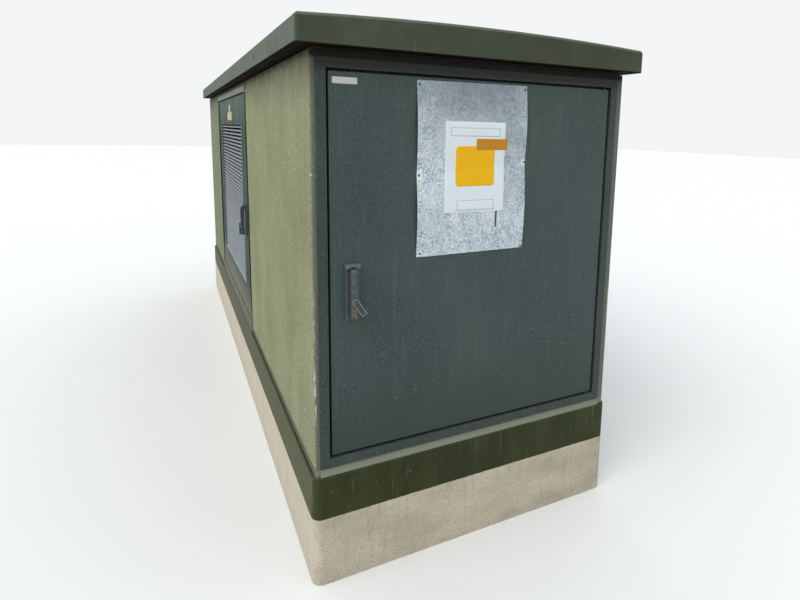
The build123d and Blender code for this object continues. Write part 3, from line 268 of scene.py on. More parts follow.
def concreteFinish():
    look = {
        "pale": (0.700, 0.640, 0.515),
        "dark": (0.520, 0.465, 0.365),
        "washed": (0.660, 0.630, 0.525),
        "grit": (0.250, 0.220, 0.170),
        "pore": (0.17, 0.145, 0.11),
        "paint": (0.034, 0.042, 0.0165),
        "paintFaded": (0.049, 0.058, 0.025),
        "litSidePaint": (0.070, 0.075, 0.034),
        "chip": (0.36, 0.36, 0.29),
        "sides": (0.631, 0.636),  # from the middle, where the long sides begin
        "leftEnd": (-0.15, -0.62),
        "leftEndHeight": (0.22, 0.10),
        "lowDarkening": (0.12, 0.0),
        "bandBottom": 0.247,
        "edgeWander": 0.003,
    }
    f = Finish("castConcrete", look, "pale", 0.85, shine=0.12)
    blotch = f.ramp(f.noise(0.16, (1, 1, 0.6), 5.0), 0.36, 0.66)
    f.layer("dark", blotch)
    # The long sides and the front's left end are painted paler: painted light.
    onSide = f.ramp(f.absolute(f.x), *look["sides"])
    leftEnd = f.times(f.ramp(f.x, *look["leftEnd"]), f.ramp(f.z, *look["leftEndHeight"], 0.35, 1.0))
    litPaler = f.larger(f.times(onSide, 0.95), f.times(leftEnd, 0.45))
    f.layer("washed", litPaler, f.ramp(blotch, 0, 1, 1.0, 0.7))
    f.layer("dark", f.ramp(f.noise(0.007), 0.40, 0.64), 0.62)
    f.layer("grit", f.ramp(f.noise(0.0065, detail=4.0, roughness=0.75), 0.53, 0.68), 0.70)
    pores = f.times(f.ramp(f.cells(0.018), 0.12, 0.05), f.ramp(f.noise(0.05), 0.48, 0.58))
    f.layer("pore", pores, 0.8)
    f.layer("pore", f.ramp(f.noise(0.018, (1, 1, 9)), 0.58, 0.74), 0.22)
    # Darker towards the bottom, in patches
    lowPatches = f.ramp(f.noise(0.05, detail=4.0), 0.3, 0.7, 0.5, 1.0)
    f.layer("pore", f.ramp(f.z, *look["lowDarkening"]), lowPatches, 0.15)
    bare = f.colour

    # The painted band, with runs and small chips, ends in a slightly wandering line.
    f.colour = look["paint"]
    f.layer("paintFaded", f.ramp(f.noise(0.09, (1, 1, 2.5), 5.0), 0.40, 0.66))
    # The band is painted paler on the long sides: painted light.
    f.layer("litSidePaint", onSide, 0.85)
    streak = f.ramp(f.noise(0.010, (1, 1, 14), 2.0), 0.62, 0.72)
    speck = f.ramp(f.noise(0.010, detail=1.0), 0.755, 0.78)
    f.layer("chip", f.larger(f.times(streak, 0.14), f.times(speck, 0.55)))
    wander = f.times(f.combine("SUBTRACT", f.noise(0.03), 0.5), look["edgeWander"])
    line = f.combine("ADD", f.z, wander)
    painted = f.ramp(line, look["bandBottom"] - 0.0005, look["bandBottom"] + 0.0005)
    f.colour = f.mix(painted, bare, f.colour)
    f.set("Roughness", f.ramp(painted, 0, 1, 0.88, 0.55))
    f.bump(f.noise(0.0045), 0.0008, 0.6)
    f.bump(pores, -0.0012, 0.6)
    f.keep("concrete")


def renderFinish():
    look = {
        "olive": (0.276, 0.294, 0.168),
        "light": (0.375, 0.395, 0.240),
        "shade": (0.140, 0.152, 0.092),
        "front": (0.158, 0.178, 0.156),
        "sill": (0.220, 0.238, 0.175),
        "sideSill": (0.120, 0.122, 0.098),
        "farEnd": (0.200, 0.232, 0.145),  # beyond the side door
        "eaves": (0.100, 0.100, 0.082),
        "paintedShadowHem": (0.030, 0.025, 0.016),
        "paintedShade": (0.012, 0.011, 0.008),
        "chip": (0.66, 0.65, 0.60),
        "grain": 0.0060,
        "dirtAndShadeHeight": (1.62, 1.80),
        "hemHeight": (1.806, 1.830),
        "hemDepth": 0.075,
        "sillHeight": (0.4275, 0.4265),
        "paintedShadeHeight": (1.765, 1.775),
        "leftChips": ((0.63, 0.75, 1.00), (0.87, 1.00, 0.40)),  # low, high and share on the front left arris
        "rightChips": (0.78, 0.90),
    }
    f = Finish("oliveRender", look, "olive", 0.92, shine=0.3)
    f.layer("light", f.ramp(f.noise(0.30, (1, 1, 1.5), 5.0), 0.33, 0.68))
    f.layer("shade", f.ramp(f.noise(0.035, (1, 1, 10)), 0.50, 0.72), 0.22)
    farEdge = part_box("side_door_frame")[1][1]
    onLeft = f.ramp(f.x, wallLeft + 0.02, wallLeft + 0.01)
    f.layer("farEnd", f.ramp(f.y, farEdge, farEdge + 0.01), onLeft, 0.85)
    # The front face is darker than the side: partly dirt, partly painted shade.
    onFront = f.ramp(f.y, wallFront + 0.006, wallFront + 0.0015)
    f.layer("front", onFront, 0.92)
    grains = f.noise(look["grain"], roughness=0.7)
    f.layer("shade", f.ramp(grains, 0.55, 0.36, 0.0, 0.85))
    f.layer("light", f.ramp(grains, 0.56, 0.70, 0.0, 0.60))
    # Darker towards the eaves: dirt washed down from them and painted shade under the roof, with a ragged
    # band of painted shadow at its top
    washed = f.ramp(f.noise(0.06, (1, 1, 2.5), 5.0), 0.30, 0.66, 0.35, 1.0)
    f.layer("eaves", f.ramp(f.z, *look["dirtAndShadeHeight"]), washed, 0.90)
    hem = f.combine("ADD", f.z, f.times(f.noise(0.022, (1, 1, 1.6), 5.0, 0.7), look["hemDepth"]))
    f.layer("paintedShadowHem", f.ramp(hem, *look["hemHeight"]), 0.9)
    f.layer("chip", f.ramp(f.noise(0.02, detail=1.0), 0.765, 0.785))
    # Chips along the arrises, down to the white filler
    leftArris = f.times(f.ramp(f.x, wallLeft + 0.008, wallLeft + 0.003),
                        f.ramp(f.y, wallFront + 0.007, wallFront + 0.002))
    wear = f.ramp(f.noise(0.014, (1, 1, 2.6), 2.0), 0.43, 0.50)
    for low, high, share in look["leftChips"]:
        f.layer("chip", leftArris, wear, f.band(f.z, low, high, 0.05), share)
    rightArris = f.times(f.ramp(f.x, -wallLeft - 0.013, -wallLeft - 0.004), onFront)
    f.layer("chip", rightArris, wear, f.band(f.z, *look["rightChips"], 0.04), 0.7)
    # The sill under each frame is smooth, and painted shadow darkens the front wall over the frames, under
    # the roof.
    sill = f.ramp(f.z, *look["sillHeight"])
    f.layer("sideSill", sill)
    f.layer("sill", sill, onFront)
    f.layer("paintedShade", f.ramp(f.z, *look["paintedShadeHeight"]), onFront, 0.9)
    f.bump(f.times(grains, f.combine("SUBTRACT", 1.0, sill)), 0.0032, 1.0)
    f.keep("render")


def roofFinish():
    look = {
        "olive": (0.067, 0.081, 0.056),
        "faded": (0.094, 0.110, 0.078),
        "side": (0.205, 0.244, 0.228),
        "rusty": (0.110, 0.088, 0.064),
        "worn": (0.125, 0.140, 0.100),
        "paintedUndersideShade": (0.013, 0.0090, 0.0050),
        "chalk": (0.33, 0.35, 0.30),
        "top": (0.18, 0.193, 0.148),
        "sides": (0.672, 0.6755),  # from the middle, where the long edges begin
        "underside": (1.804, 1.8005),
        "eavesTop": 1.884,  # top of the edge at the long sides
        "camber": 0.018,
        "halfWidth": 0.677,
    }
    f = Finish("oliveRoof", look, "olive", 0.7, shine=0.02)
    cloud = f.ramp(f.noise(0.20, detail=5.0), 0.36, 0.66)
    f.layer("faded", cloud)
    # The long edges are painted paler: painted light.
    f.layer("side", f.ramp(f.absolute(f.x), *look["sides"], 0.0, 0.55))
    f.layer("rusty", f.ramp(f.noise(0.11, detail=5.0), 0.52, 0.70), 0.45)
    f.layer("faded", f.ramp(f.noise(0.020, (1, 1, 12)), 0.56, 0.74), 0.30)
    f.layer("chalk", f.ramp(f.noise(0.012, (1, 1, 16), 2.0), 0.71, 0.77), 0.38)
    # The upper arris follows the camber and carries a painted highlight; the top is weathered.
    across = f.combine("DIVIDE", f.x, look["halfWidth"])
    arc = f.times(f.combine("SUBTRACT", 1.0, f.times(across, across)), look["camber"])
    fromTop = f.combine("SUBTRACT", f.combine("ADD", arc, look["eavesTop"]), f.z)
    rubbed = f.ramp(f.noise(0.02, detail=4.0), 0.30, 0.60, 0.5, 1.0)
    f.layer("worn", f.ramp(fromTop, 0.011, 0.006), rubbed, 0.8)
    lichen = f.ramp(f.noise(0.035, detail=5.0, roughness=0.7), 0.44, 0.62)
    f.layer("top", f.ramp(fromTop, 0.0025, 0.0010), f.ramp(lichen, 0, 1, 0.55, 1.0))
    f.layer("chalk", f.ramp(f.noise(0.010, detail=1.0), 0.755, 0.775), 0.8)
    # The underside is painted near-black: painted shade under the overhang.
    f.layer("paintedUndersideShade", f.ramp(f.z, *look["underside"]))
    f.set("Roughness", f.ramp(cloud, 0, 1, 0.62, 0.80))
    f.bump(f.noise(0.010, detail=4.0), 0.0007, 0.6)
    f.bump(f.noise(0.12, detail=2.0), 0.004, 0.25)
    f.keep("roof_paint")


def paintFinish(slot, name, look):
    # Satin paint on folded sheet: slow clouds, hairline vertical marks, pale specks and orange peel
    f = Finish(name, look, "base", look["roughness"], shine=look["shine"])
    cloud = f.ramp(f.noise(look["cloudSize"], (1, 1, 1.6), 5.0), 0.34, 0.68)
    f.layer("faded", cloud)
    f.layer("dust", f.ramp(f.noise(0.008, (1, 1, 1.3), 3.0, 0.7), 0.40, 0.70, 0.0, look["mottle"]))
    f.layer("dust", f.ramp(f.noise(0.016, (1, 1, 18)), 0.55, 0.75), look["streaks"])
    f.layer("dirt", f.ramp(f.z, *look["dirtHeight"]), look["lowDirt"])
    f.layer("dust", f.ramp(f.noise(0.0075, detail=1.0), 0.765, 0.785), look["specks"])
    scuff = f.ramp(f.noise(0.009, (3, 1, 1), 2.0), 0.66, 0.72)
    f.layer("dust", f.band(f.z, *look["scuffHeight"], 0.08), scuff, look["scuffs"])
    onFront = f.ramp(f.y, *look["frontZone"])
    # Painted sky reflection on the top of the leaf and on the head of its frame
    if "high" in look:
        f.layer("high", f.ramp(f.z, *look["highHeight"]), 0.8)
        f.layer("head", f.ramp(f.z, *look["headHeight"]))
    # A painted highlight on the edge under the louvre
    if "lip" in look:
        f.layer("lip", f.band(f.z, *look["lipHeight"], 0.001), f.band(f.y, *look["lipAlong"], 0.002), 0.9)
    # Dirt and painted shade on the head of the front frame, under the roof
    if "eaves" in look:
        f.layer("eaves", f.ramp(f.z, *look["eavesHeight"]), onFront, 0.90)
    if "rust" in look:
        rusty = f.patch(look["rustAcross"], look["rustHeight"], 0.010)
        f.layer("rust", rusty, f.ramp(f.noise(0.010, (1, 1, 3)), 0.32, 0.60), onFront, 0.6)
        f.layer("spot", f.patch(look["spotAcross"], look["spotHeight"], 0.003), onFront, 0.8)
    f.set("Roughness", f.ramp(cloud, 0, 1, look["roughness"], look["roughness"] + 0.12))
    f.bump(f.noise(0.0035, detail=2.0), 0.00015, 0.4)
    f.bump(f.noise(0.30, detail=1.0), 0.006, 0.06)
    f.keep(slot)


def doorFinishes():
    common = {
        "dust": (0.22, 0.25, 0.24), "dirt": (0.029, 0.045, 0.042), "dirtHeight": (0.80, 0.45),
        "mottle": 0.17, "streaks": 0.12, "specks": 0.8, "scuffs": 0.4, "scuffHeight": (0.62, 0.82),
        "frontZone": (-1.90, -1.95), "shine": 0.3,
    }
    leaf = dict(
        common, base=(0.034, 0.059, 0.058), faded=(0.050, 0.080, 0.076), roughness=0.36, cloudSize=0.30,
        lowDirt=0.8,
        rust=(0.13, 0.080, 0.050), rustAcross=(-0.486, -0.476), rustHeight=(0.905, 0.938),  # under the lock
        spot=(0.46, 0.38, 0.26), spotAcross=(-0.484, -0.478), spotHeight=(0.935, 0.941),  # rubbed, at its top
    )
    surround = dict(
        common, base=(0.023, 0.040, 0.037), faded=(0.036, 0.055, 0.050), roughness=0.38, cloudSize=0.2,
        lowDirt=0.2,
        eaves=(0.006, 0.0065, 0.004), eavesHeight=(1.722, 1.752),  # dirt and painted shade on the head of the front frame, under the roof
    )
    louvreLow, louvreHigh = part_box("side_louvre")
    lipTop = louvreLow[2] + 0.010
    side = dict(
        common, base=(0.018, 0.037, 0.028), faded=(0.027, 0.050, 0.039), roughness=0.38, cloudSize=0.2,
        shine=0.01, mottle=0.10, streaks=0.06, scuffs=0.0,
        dirt=(0.172, 0.168, 0.132), lowDirt=0.9, dirtHeight=(0.68, 0.50),
        high=(0.088, 0.132, 0.110), highHeight=(1.50, 1.70),  # the leaf's top is paler: painted sky reflection
        head=(0.240, 0.270, 0.265), headHeight=(1.733, 1.737),  # and the head of its frame paler still: painted reflection
        lip=(0.45, 0.50, 0.49), lipHeight=(lipTop - 0.008, lipTop),  # painted highlight on the edge under the louvre
        lipAlong=(louvreLow[1] + 0.010, louvreHigh[1] - 0.010),
    )
    paintFinish("door_paint", "doorPaint", leaf)
    paintFinish("frame_paint", "framePaint", surround)
    paintFinish("side_paint", "sideDoorPaint", side)


def galvanisedFinish(name, look):
    # Zinc: fine grains in two greys, blotches of white bloom, and flecks drawn out two ways
    f = Finish(name, look, "dark", 0.5, look["metallic"], shine=0.3)
    spangle = f.noise(look["grain"], detail=2.0, roughness=0.6)
    f.layer("light", f.ramp(spangle, 0.36, 0.64))
    f.layer("bloom", f.ramp(f.noise(0.04, (1, 1, 1.3), 6.0, 0.65), 0.38, 0.66), look["bloomShare"])
    for turn in (0.5, -0.7):
        flecks = f.noise(look["grain"] * 0.8, (1, 1, 3.5), 2.0, turn=turn)
        f.layer("bloom", f.ramp(flecks, 0.60, 0.70), look["flecks"])
    f.set("Roughness", f.ramp(spangle, 0.35, 0.65, 0.58, 0.42))
    f.bump(spangle, 0.00015, 0.4)
    return f


def zincFinishes():
    sheet = {
        "dark": (0.23, 0.305, 0.375), "light": (0.70, 0.83, 0.96), "bloom": (0.94, 1.0, 1.0),
        "grain": 0.0066, "metallic": 0.06, "bloomShare": 0.50, "flecks": 0.80,
        "shade": (0.19, 0.225, 0.265),  # the top of the sheet, under the roof
        "shadeHeight": (1.46, 1.66),
        "shadeAcross": (-0.15, 0.07),
        "duskAcross": (0.075, 0.175),  # a duller field beside the middle right screw
        "duskHeight": (1.34, 1.54),
        "drip": (0.030, 0.030, 0.034),
        "dripAcross": (0.038, 0.044),
        "dripHeight": (1.215, 1.275),
        "pale": (0.92, 0.95, 0.97),
        "paleAcross": (-0.123, -0.117),
        "paleHeight": (1.189, 1.275),
    }
    f = galvanisedFinish("zincSheet", sheet)
    ruffled = f.ramp(f.noise(0.05, detail=4.0), 0.3, 0.7, 0.75, 1.0)
    middle = f.ramp(f.band(f.x, *sheet["shadeAcross"], 0.12), 0, 1, 0.45, 0.80)
    f.layer("shade", f.ramp(f.z, *sheet["shadeHeight"]), ruffled, middle)
    f.layer("shade", f.patch(sheet["duskAcross"], sheet["duskHeight"], 0.07), 0.30)
    uneven = f.ramp(f.noise(0.008, (1, 1, 4)), 0.3, 0.5, 0.4, 1.0)
    f.layer("drip", f.patch(sheet["dripAcross"], sheet["dripHeight"], 0.002), uneven, 0.92)
    f.layer("pale", f.patch(sheet["paleAcross"], sheet["paleHeight"], 0.003), 0.35)
    f.keep("galvanised")

    plain = {
        "dark": (0.27, 0.295, 0.315), "light": (0.47, 0.50, 0.525), "bloom": (0.62, 0.66, 0.69),
        "grain": 0.012, "metallic": 0.3, "bloomShare": 0.35, "flecks": 0.25,
    }
    galvanisedFinish("partitionZinc", plain).keep("partition_zinc")

    slats = {
        "dark": (0.125, 0.152, 0.170), "light": (0.225, 0.270, 0.295), "bloom": (0.32, 0.375, 0.40),
        "grain": 0.008, "metallic": 0.05, "bloomShare": 0.3, "flecks": 0.2,
        "paintedShade": (0.012, 0.013, 0.014),
    }
    f = galvanisedFinish("slatZinc", slats)
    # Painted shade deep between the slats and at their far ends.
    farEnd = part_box("side_louvre")[1][1]
    deep = f.ramp(f.x, wallLeft + 0.002, wallLeft + 0.009)
    ends = f.ramp(f.y, farEnd - 0.060, farEnd - 0.035)
    f.layer("paintedShade", f.larger(deep, f.times(ends, 0.85)), 0.92)
    f.keep("louvre_zinc")


def handleFinish():
    # Moulded plates of the handles, with a paler cap over each lever's head
    look = {"coat": (0.046, 0.054, 0.066), "rubbed": (0.082, 0.092, 0.106), "cap": (0.120, 0.130, 0.162)}
    f = Finish("handleCoat", look, "coat", 0.42)
    tone = f.noise(0.007)
    f.layer("rubbed", f.ramp(tone, 0.35, 0.65))
    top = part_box("front_handle_plate")[1][2]
    f.layer("cap", f.ramp(f.z, top - 0.014, top - 0.0125), f.ramp(tone, 0.3, 0.6, 0.6, 1.0))
    f.set("Roughness", f.ramp(tone, 0.3, 0.7, 0.36, 0.50))
    f.bump(tone, 0.0001, 0.5)
    f.keep("handle_black")


def rodFinish():
    # Plated rods and shafts; the ends of the locking rods are black with old grease.
    look = {"plate": (0.15, 0.15, 0.145), "bright": (0.24, 0.24, 0.23), "grease": (0.006, 0.006, 0.006),
            "tip": 0.040}
    f = Finish("platedSteel", look, "plate", 0.5, 0.5, 0.3)
    tone = f.noise(0.01, (1, 1, 6))
    f.layer("bright", f.ramp(tone, 0.35, 0.65))
    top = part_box("front_upper_rod")[1][2] - look["tip"]
    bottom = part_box("front_lower_rod")[0][2] + look["tip"]
    tips = f.larger(f.ramp(f.z, top, top + 0.005), f.ramp(f.z, bottom, bottom - 0.005))
    f.layer("grease", tips)
    f.set("Metallic", f.ramp(tips, 0, 1, 0.5, 0.0))
    f.set("Roughness", f.ramp(tone, 0.3, 0.7, 0.44, 0.58))
    f.bump(tone, 0.0001, 0.5)
    f.keep("rod_steel")


def coverFinish():
    # The lock covers are paler on their raised rims, which lie outermost on each door.
    look = {"coat": (0.048, 0.054, 0.064), "rubbed": (0.30, 0.33, 0.38)}
    f = Finish("coverCoat", look, "coat", 0.4)
    faces = ((f.y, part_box("front_lock_cover")[0][1]), (f.x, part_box("side_lock_cover")[0][0]),
             (f.y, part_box("rear_lock_cover")[1][1]))
    rims = []
    for axis, face in faces:
        inward = -math.copysign(1.0, face)
        rims.append(f.ramp(axis, face + inward * 0.0012, face + inward * 0.0004))
    f.layer("rubbed", f.larger(*rims), f.ramp(f.noise(0.006), 0.32, 0.62, 0.55, 1.0))
    f.bump(f.noise(0.006), 0.0001, 0.5)
    f.keep("cover_grey")


plainFinishes = [
    # slot, material, its two tones, roughness, metallic, size of the noise and its stretch
    ("seal_rubber", "blackRubber", (0.018, 0.018, 0.018), (0.03, 0.03, 0.03), 0.75),
    ("lever_grey", "leverCoat", (0.038, 0.047, 0.066), (0.100, 0.116, 0.140), 0.36, 0.0, 0.008),
    ("lock_brass", "lockBrass", (0.030, 0.021, 0.014), (0.29, 0.215, 0.14), 0.5, 0.2, 0.0035),
    ("tank_paint", "tankPaint", (0.25, 0.28, 0.29), (0.32, 0.35, 0.36), 0.42, 0.0, 0.08),
    ("core_steel", "coreSteel", (0.20, 0.20, 0.21), (0.28, 0.28, 0.29), 0.45, 0.8, 0.02, (8, 1, 1)),
    ("copper", "enamelledCopper", (0.48, 0.20, 0.09), (0.60, 0.28, 0.14), 0.35, 0.6, 0.02, (1, 1, 0.15)),
    ("insulator", "brownGlaze", (0.15, 0.045, 0.022), (0.23, 0.075, 0.038), 0.15, 0.0, 0.05),
    ("cable_sheath", "redSheath", (0.20, 0.025, 0.018), (0.28, 0.045, 0.035), 0.5, 0.0, 0.02),
    ("bare_copper", "bareCopper", (0.74, 0.40, 0.24), (0.56, 0.27, 0.15), 0.3, 0.95, 0.03),
    ("cabinet_paint", "cabinetPaint", (0.57, 0.58, 0.55), (0.64, 0.65, 0.62), 0.45, 0.0, 0.05),
    ("moulded_grey", "greyMoulding", (0.26, 0.27, 0.28), (0.33, 0.34, 0.35), 0.5, 0.0, 0.004),
    ("moulded_dark", "darkMoulding", (0.030, 0.030, 0.032), (0.052, 0.052, 0.055), 0.5, 0.0, 0.004),
    ("knob_red", "redMoulding", (0.47, 0.03, 0.02), (0.57, 0.05, 0.035), 0.3),
    ("screwZinc", "screwZinc", (0.40, 0.41, 0.41), (0.62, 0.63, 0.63), 0.4, 0.7, 0.003),
    ("fillerWhite", "fillerWhite", (0.95, 0.99, 1.0), (0.82, 0.87, 0.91), 0.7, 0.0, 0.008),
    ("dullScrew", "dullScrew", (0.055, 0.060, 0.065), (0.20, 0.21, 0.22), 0.6, 0.2, 0.003),
    ("bootRubber", "bootRubber", (0.022, 0.022, 0.024), (0.040, 0.040, 0.043), 0.62),
    ("dialFace", "dialFace", (0.80, 0.80, 0.77), (0.72, 0.72, 0.69), 0.3, 0.0, 0.02),
    ("mimicRed", "mimicRed", (0.42, 0.028, 0.022), (0.50, 0.045, 0.035), 0.45, 0.0, 0.02),
]


def plainFinish(slot, name, first, second, roughness, metallic=0.0, size=0.01, stretch=(1, 1, 1)):
    # Two close tones in soft noise, with roughness and bump from the same noise
    f = Finish(name, {"first": first, "second": second}, "first", roughness, metallic)
    tone = f.noise(size, stretch)
    f.layer("second", f.ramp(tone, 0.35, 0.65))
    f.set("Roughness", f.ramp(tone, 0.3, 0.7, roughness - 0.06, roughness + 0.08))
    f.bump(tone, 0.0001, 0.5)
    f.keep(slot)


foilFinishes = [
    # name, fresh colour, worn colour and how far it goes towards the worn one
    ("whiteFoil", (0.85, 0.955, 1.0), (0.73, 0.815, 0.86), 0.35),
    ("paleFoil", (0.70, 0.69, 0.67), (0.56, 0.55, 0.53), 0.4),
    ("amberFoil", (1.0, 0.55, 0.004), (0.92, 0.54, 0.02), 0.35),
    ("orangeFoil", (0.62, 0.275, 0.014), (0.50, 0.27, 0.045), 0.4),
    ("yellowFoil", (0.50, 0.38, 0.12), (0.40, 0.34, 0.19), 0.5),
    ("greyInk", (0.34, 0.37, 0.39), (0.46, 0.50, 0.52), 0.4),
]


def foilFinish(name, fresh, worn, share):
    # Printed foil with rubbed spots and a slightly uneven gloss
    f = Finish(name, {"fresh": fresh, "worn": worn}, "fresh", 0.35, shine=0.25)
    rub = f.ramp(f.noise(0.009, detail=4.0), 0.52, 0.70)
    cloud = f.ramp(f.noise(0.07), 0.35, 0.70, 0.0, 0.5)
    f.layer("worn", f.larger(rub, cloud), share)
    f.set("Roughness", f.ramp(rub, 0, 1, 0.32, 0.55))
    f.bump(f.noise(0.02, detail=2.0), 0.0003, 0.3)
    f.keep(name)


def makeFinishes():
    concreteFinish()
    renderFinish()
    roofFinish()
    doorFinishes()
    zincFinishes()
    handleFinish()
    rodFinish()
    coverFinish()
    for row in plainFinishes:
        plainFinish(*row)
    for row in foilFinishes:
        foilFinish(*row)


ownSlots = {
    "partition_zinc": ("switchgear_partition", "lv_partition", "lv_board", "transformer_rails"),
    "louvre_zinc": ("side_louvre",),
    "side_paint": ("side_door_frame", "side_door_leaf"),
    "cover_grey": ("front_lock_cover", "side_lock_cover", "rear_lock_cover"),
}


def dressNodes():
    # Every node takes its slot's finish, apart from those that have one of their own here.
    own = {node: slot for slot, group in ownSlots.items() for node in group}
    for row in frame["record"]["subparts"]:
        slot = own.get(row["node"], row["material_slot"])
        for holder in nodes[row["node"]].material_slots:
            holder.material = finishes[slot]


makeFinishes()
makeCamera()
makeStudio()
dressNodes()
print("camera, studio and finishes made")


# Shapes. Each is a function of two parameters: the place round an outline and the step along an edge profile.

sharpAngle = 35.0  # degrees between two faces, past which their edge is sharp

facings = {
    "front": ((1, 0, 0), (0, 0, 1), (0, -1, 0)),  # right, up and outward for someone who looks at the face
    "left": ((0, -1, 0), (0, 0, 1), (-1, 0, 0)),
    "rear": ((-1, 0, 0), (0, 0, 1), (0, 1, 0)),
    "top": ((1, 0, 0), (0, 1, 0), (0, 0, 1)),
}


def roundedPolygon(corners, radius, steps=6, spacing=None):
    # Each corner becomes an arc whose centre lies on the corner's bisector, one radius inside both sides.
    # A point of the outline inset by d is then centre + (radius - d) * direction.
    corners = np.asarray(corners, float)
    incoming = corners - np.roll(corners, 1, 0)
    incoming /= np.linalg.norm(incoming, axis=1, keepdims=True)
    outgoing = np.roll(incoming, -1, 0)
    before = np.stack([incoming[:, 1], -incoming[:, 0]], 1)
    after = np.stack([outgoing[:, 1], -outgoing[:, 0]], 1)
    cosine = (before * after).sum(1, keepdims=True)
    centres = np.repeat(corners - (before + after) / (1 + cosine) * radius, steps, 0)
    start = np.arctan2(before[:, 1], before[:, 0])[:, None]
    angles = start + np.arccos(cosine) * np.linspace(0, 1, steps)
    directions = np.stack([np.cos(angles), np.sin(angles)], 2).reshape(-1, 2)
    if spacing:
        # Points are added along the straight sides, so that the outline can follow a bent surface.
        both = np.concatenate([centres, directions], 1)
        both = np.concatenate([both, both[:1]])
        outline = both[:, :2] + radius * both[:, 2:]
        along = np.concatenate([[0], np.cumsum(np.linalg.norm(np.diff(outline, axis=0), axis=1))])
        extra = np.arange(0, along[-1], spacing)
        stops = np.unique(np.round(np.concatenate([along[:-1], extra]), 7))
        both = np.stack([np.interp(stops, along, both[:, column]) for column in range(4)], 1)
        centres, directions = both[:, :2], both[:, 2:]
    return centres, directions, radius


def rectangle(width, height, radius, steps=6, spacing=None):
    # Corners half a width and half a height from the middle
    x, y = width / 2, height / 2
    return roundedPolygon([(-x, -y), (x, -y), (x, y), (-x, y)], radius, steps, spacing)


def circle(radius, count):
    # One centre for all points, which lie at equal angles
    angles = np.arange(count) * 2 * np.pi / count
    return np.zeros((count, 2)), np.stack([np.cos(angles), np.sin(angles)], 1), radius


def hexagon(acrossFlats, softness):
    # The corners lie further out than the flats, by two over the root of three.
    angles = np.arange(6) * np.pi / 3
    reach = acrossFlats / math.sqrt(3)
    return roundedPolygon(np.stack([np.cos(angles), np.sin(angles)], 1) * reach, softness, 3)


def gridFaces(rows, columns):
    # Quads between neighbouring rings, closed round the columns
    row, column = np.meshgrid(np.arange(rows - 1), np.arange(columns), indexing="ij")
    following = (column + 1) % columns
    first = row * columns + column
    second = row * columns + following
    return np.stack([first, second, second + columns, first + columns], 2).reshape(-1, 4)


def form(outline, profile, origin, facing, fill=1, lift=None, turn=0.0):
    # Rings of the outline stand at the insets and heights of the profile, and shrink to a point at both ends.
    centres, directions, radius = outline
    profile = np.asarray(profile, float)
    rings = centres[None] + (radius - profile[:, 0])[:, None, None] * directions[None]
    heights = np.repeat(profile[:, 1][:, None], rings.shape[1], 1)
    share = (np.arange(fill) / fill)[:, None, None]
    middle = rings.mean(1, keepdims=True)
    below = middle[:1] + share * (rings[:1] - middle[:1])
    above = middle[-1:] + share[::-1] * (rings[-1:] - middle[-1:])
    rings = np.concatenate([below, rings, above])
    heights = np.concatenate([np.repeat(heights[:1], fill, 0), heights, np.repeat(heights[-1:], fill, 0)])
    cosine, sine = math.cos(turn), math.sin(turn)
    x = rings[..., 0] * cosine - rings[..., 1] * sine
    y = rings[..., 0] * sine + rings[..., 1] * cosine
    if lift:
        heights = heights + lift(x, y)
    right, up, out = (np.array(axis, float) for axis in facings[facing])
    points = np.asarray(origin) + x[..., None] * right + y[..., None] * up + heights[..., None] * out
    return points.reshape(-1, 3), gridFaces(*rings.shape[:2])


def slab(thickness, soft=0.0):
    # Edge profile of a flat piece, with the front edge softened in three steps
    steps = [(soft, 0.0), (0.0, 0.0), (0.0, thickness - soft)]
    angles = np.radians([30, 60, 90])
    steps += [(soft * (1 - math.cos(a)), thickness - soft * (1 - math.sin(a))) for a in angles]
    return steps if soft else steps[1:3]


def makePiece(name, forms, finish, body="root"):
    # Joins the forms into one mesh, merges the points at the poles and turns the faces outward
    starts = np.cumsum([0] + [len(points) for points, faces in forms])
    allPoints = np.concatenate([points for points, faces in forms])
    allFaces = np.concatenate([faces + start for (points, faces), start in zip(forms, starts)])
    mesh = bpy.data.meshes.new(name)
    mesh.from_pydata(allPoints.tolist(), [], allFaces.tolist())
    work = bmesh.new()
    work.from_mesh(mesh)
    bmesh.ops.remove_doubles(work, verts=work.verts, dist=2e-6)
    bmesh.ops.recalc_face_normals(work, faces=work.faces)
    work.to_mesh(mesh)
    work.free()
    mesh.polygons.foreach_set("use_smooth", np.ones(len(mesh.polygons), bool))
    mesh.set_sharp_from_angle(angle=math.radians(sharpAngle))
    mesh.materials.append(finishes[finish])
    piece = bpy.data.objects.new(name, mesh)
    bpy.context.scene.collection.objects.link(piece)
    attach(piece, body)
    return piece


# The galvanised sheet on the front door and what is fixed to it

sheetLow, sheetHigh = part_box("front_galvanised_plate")

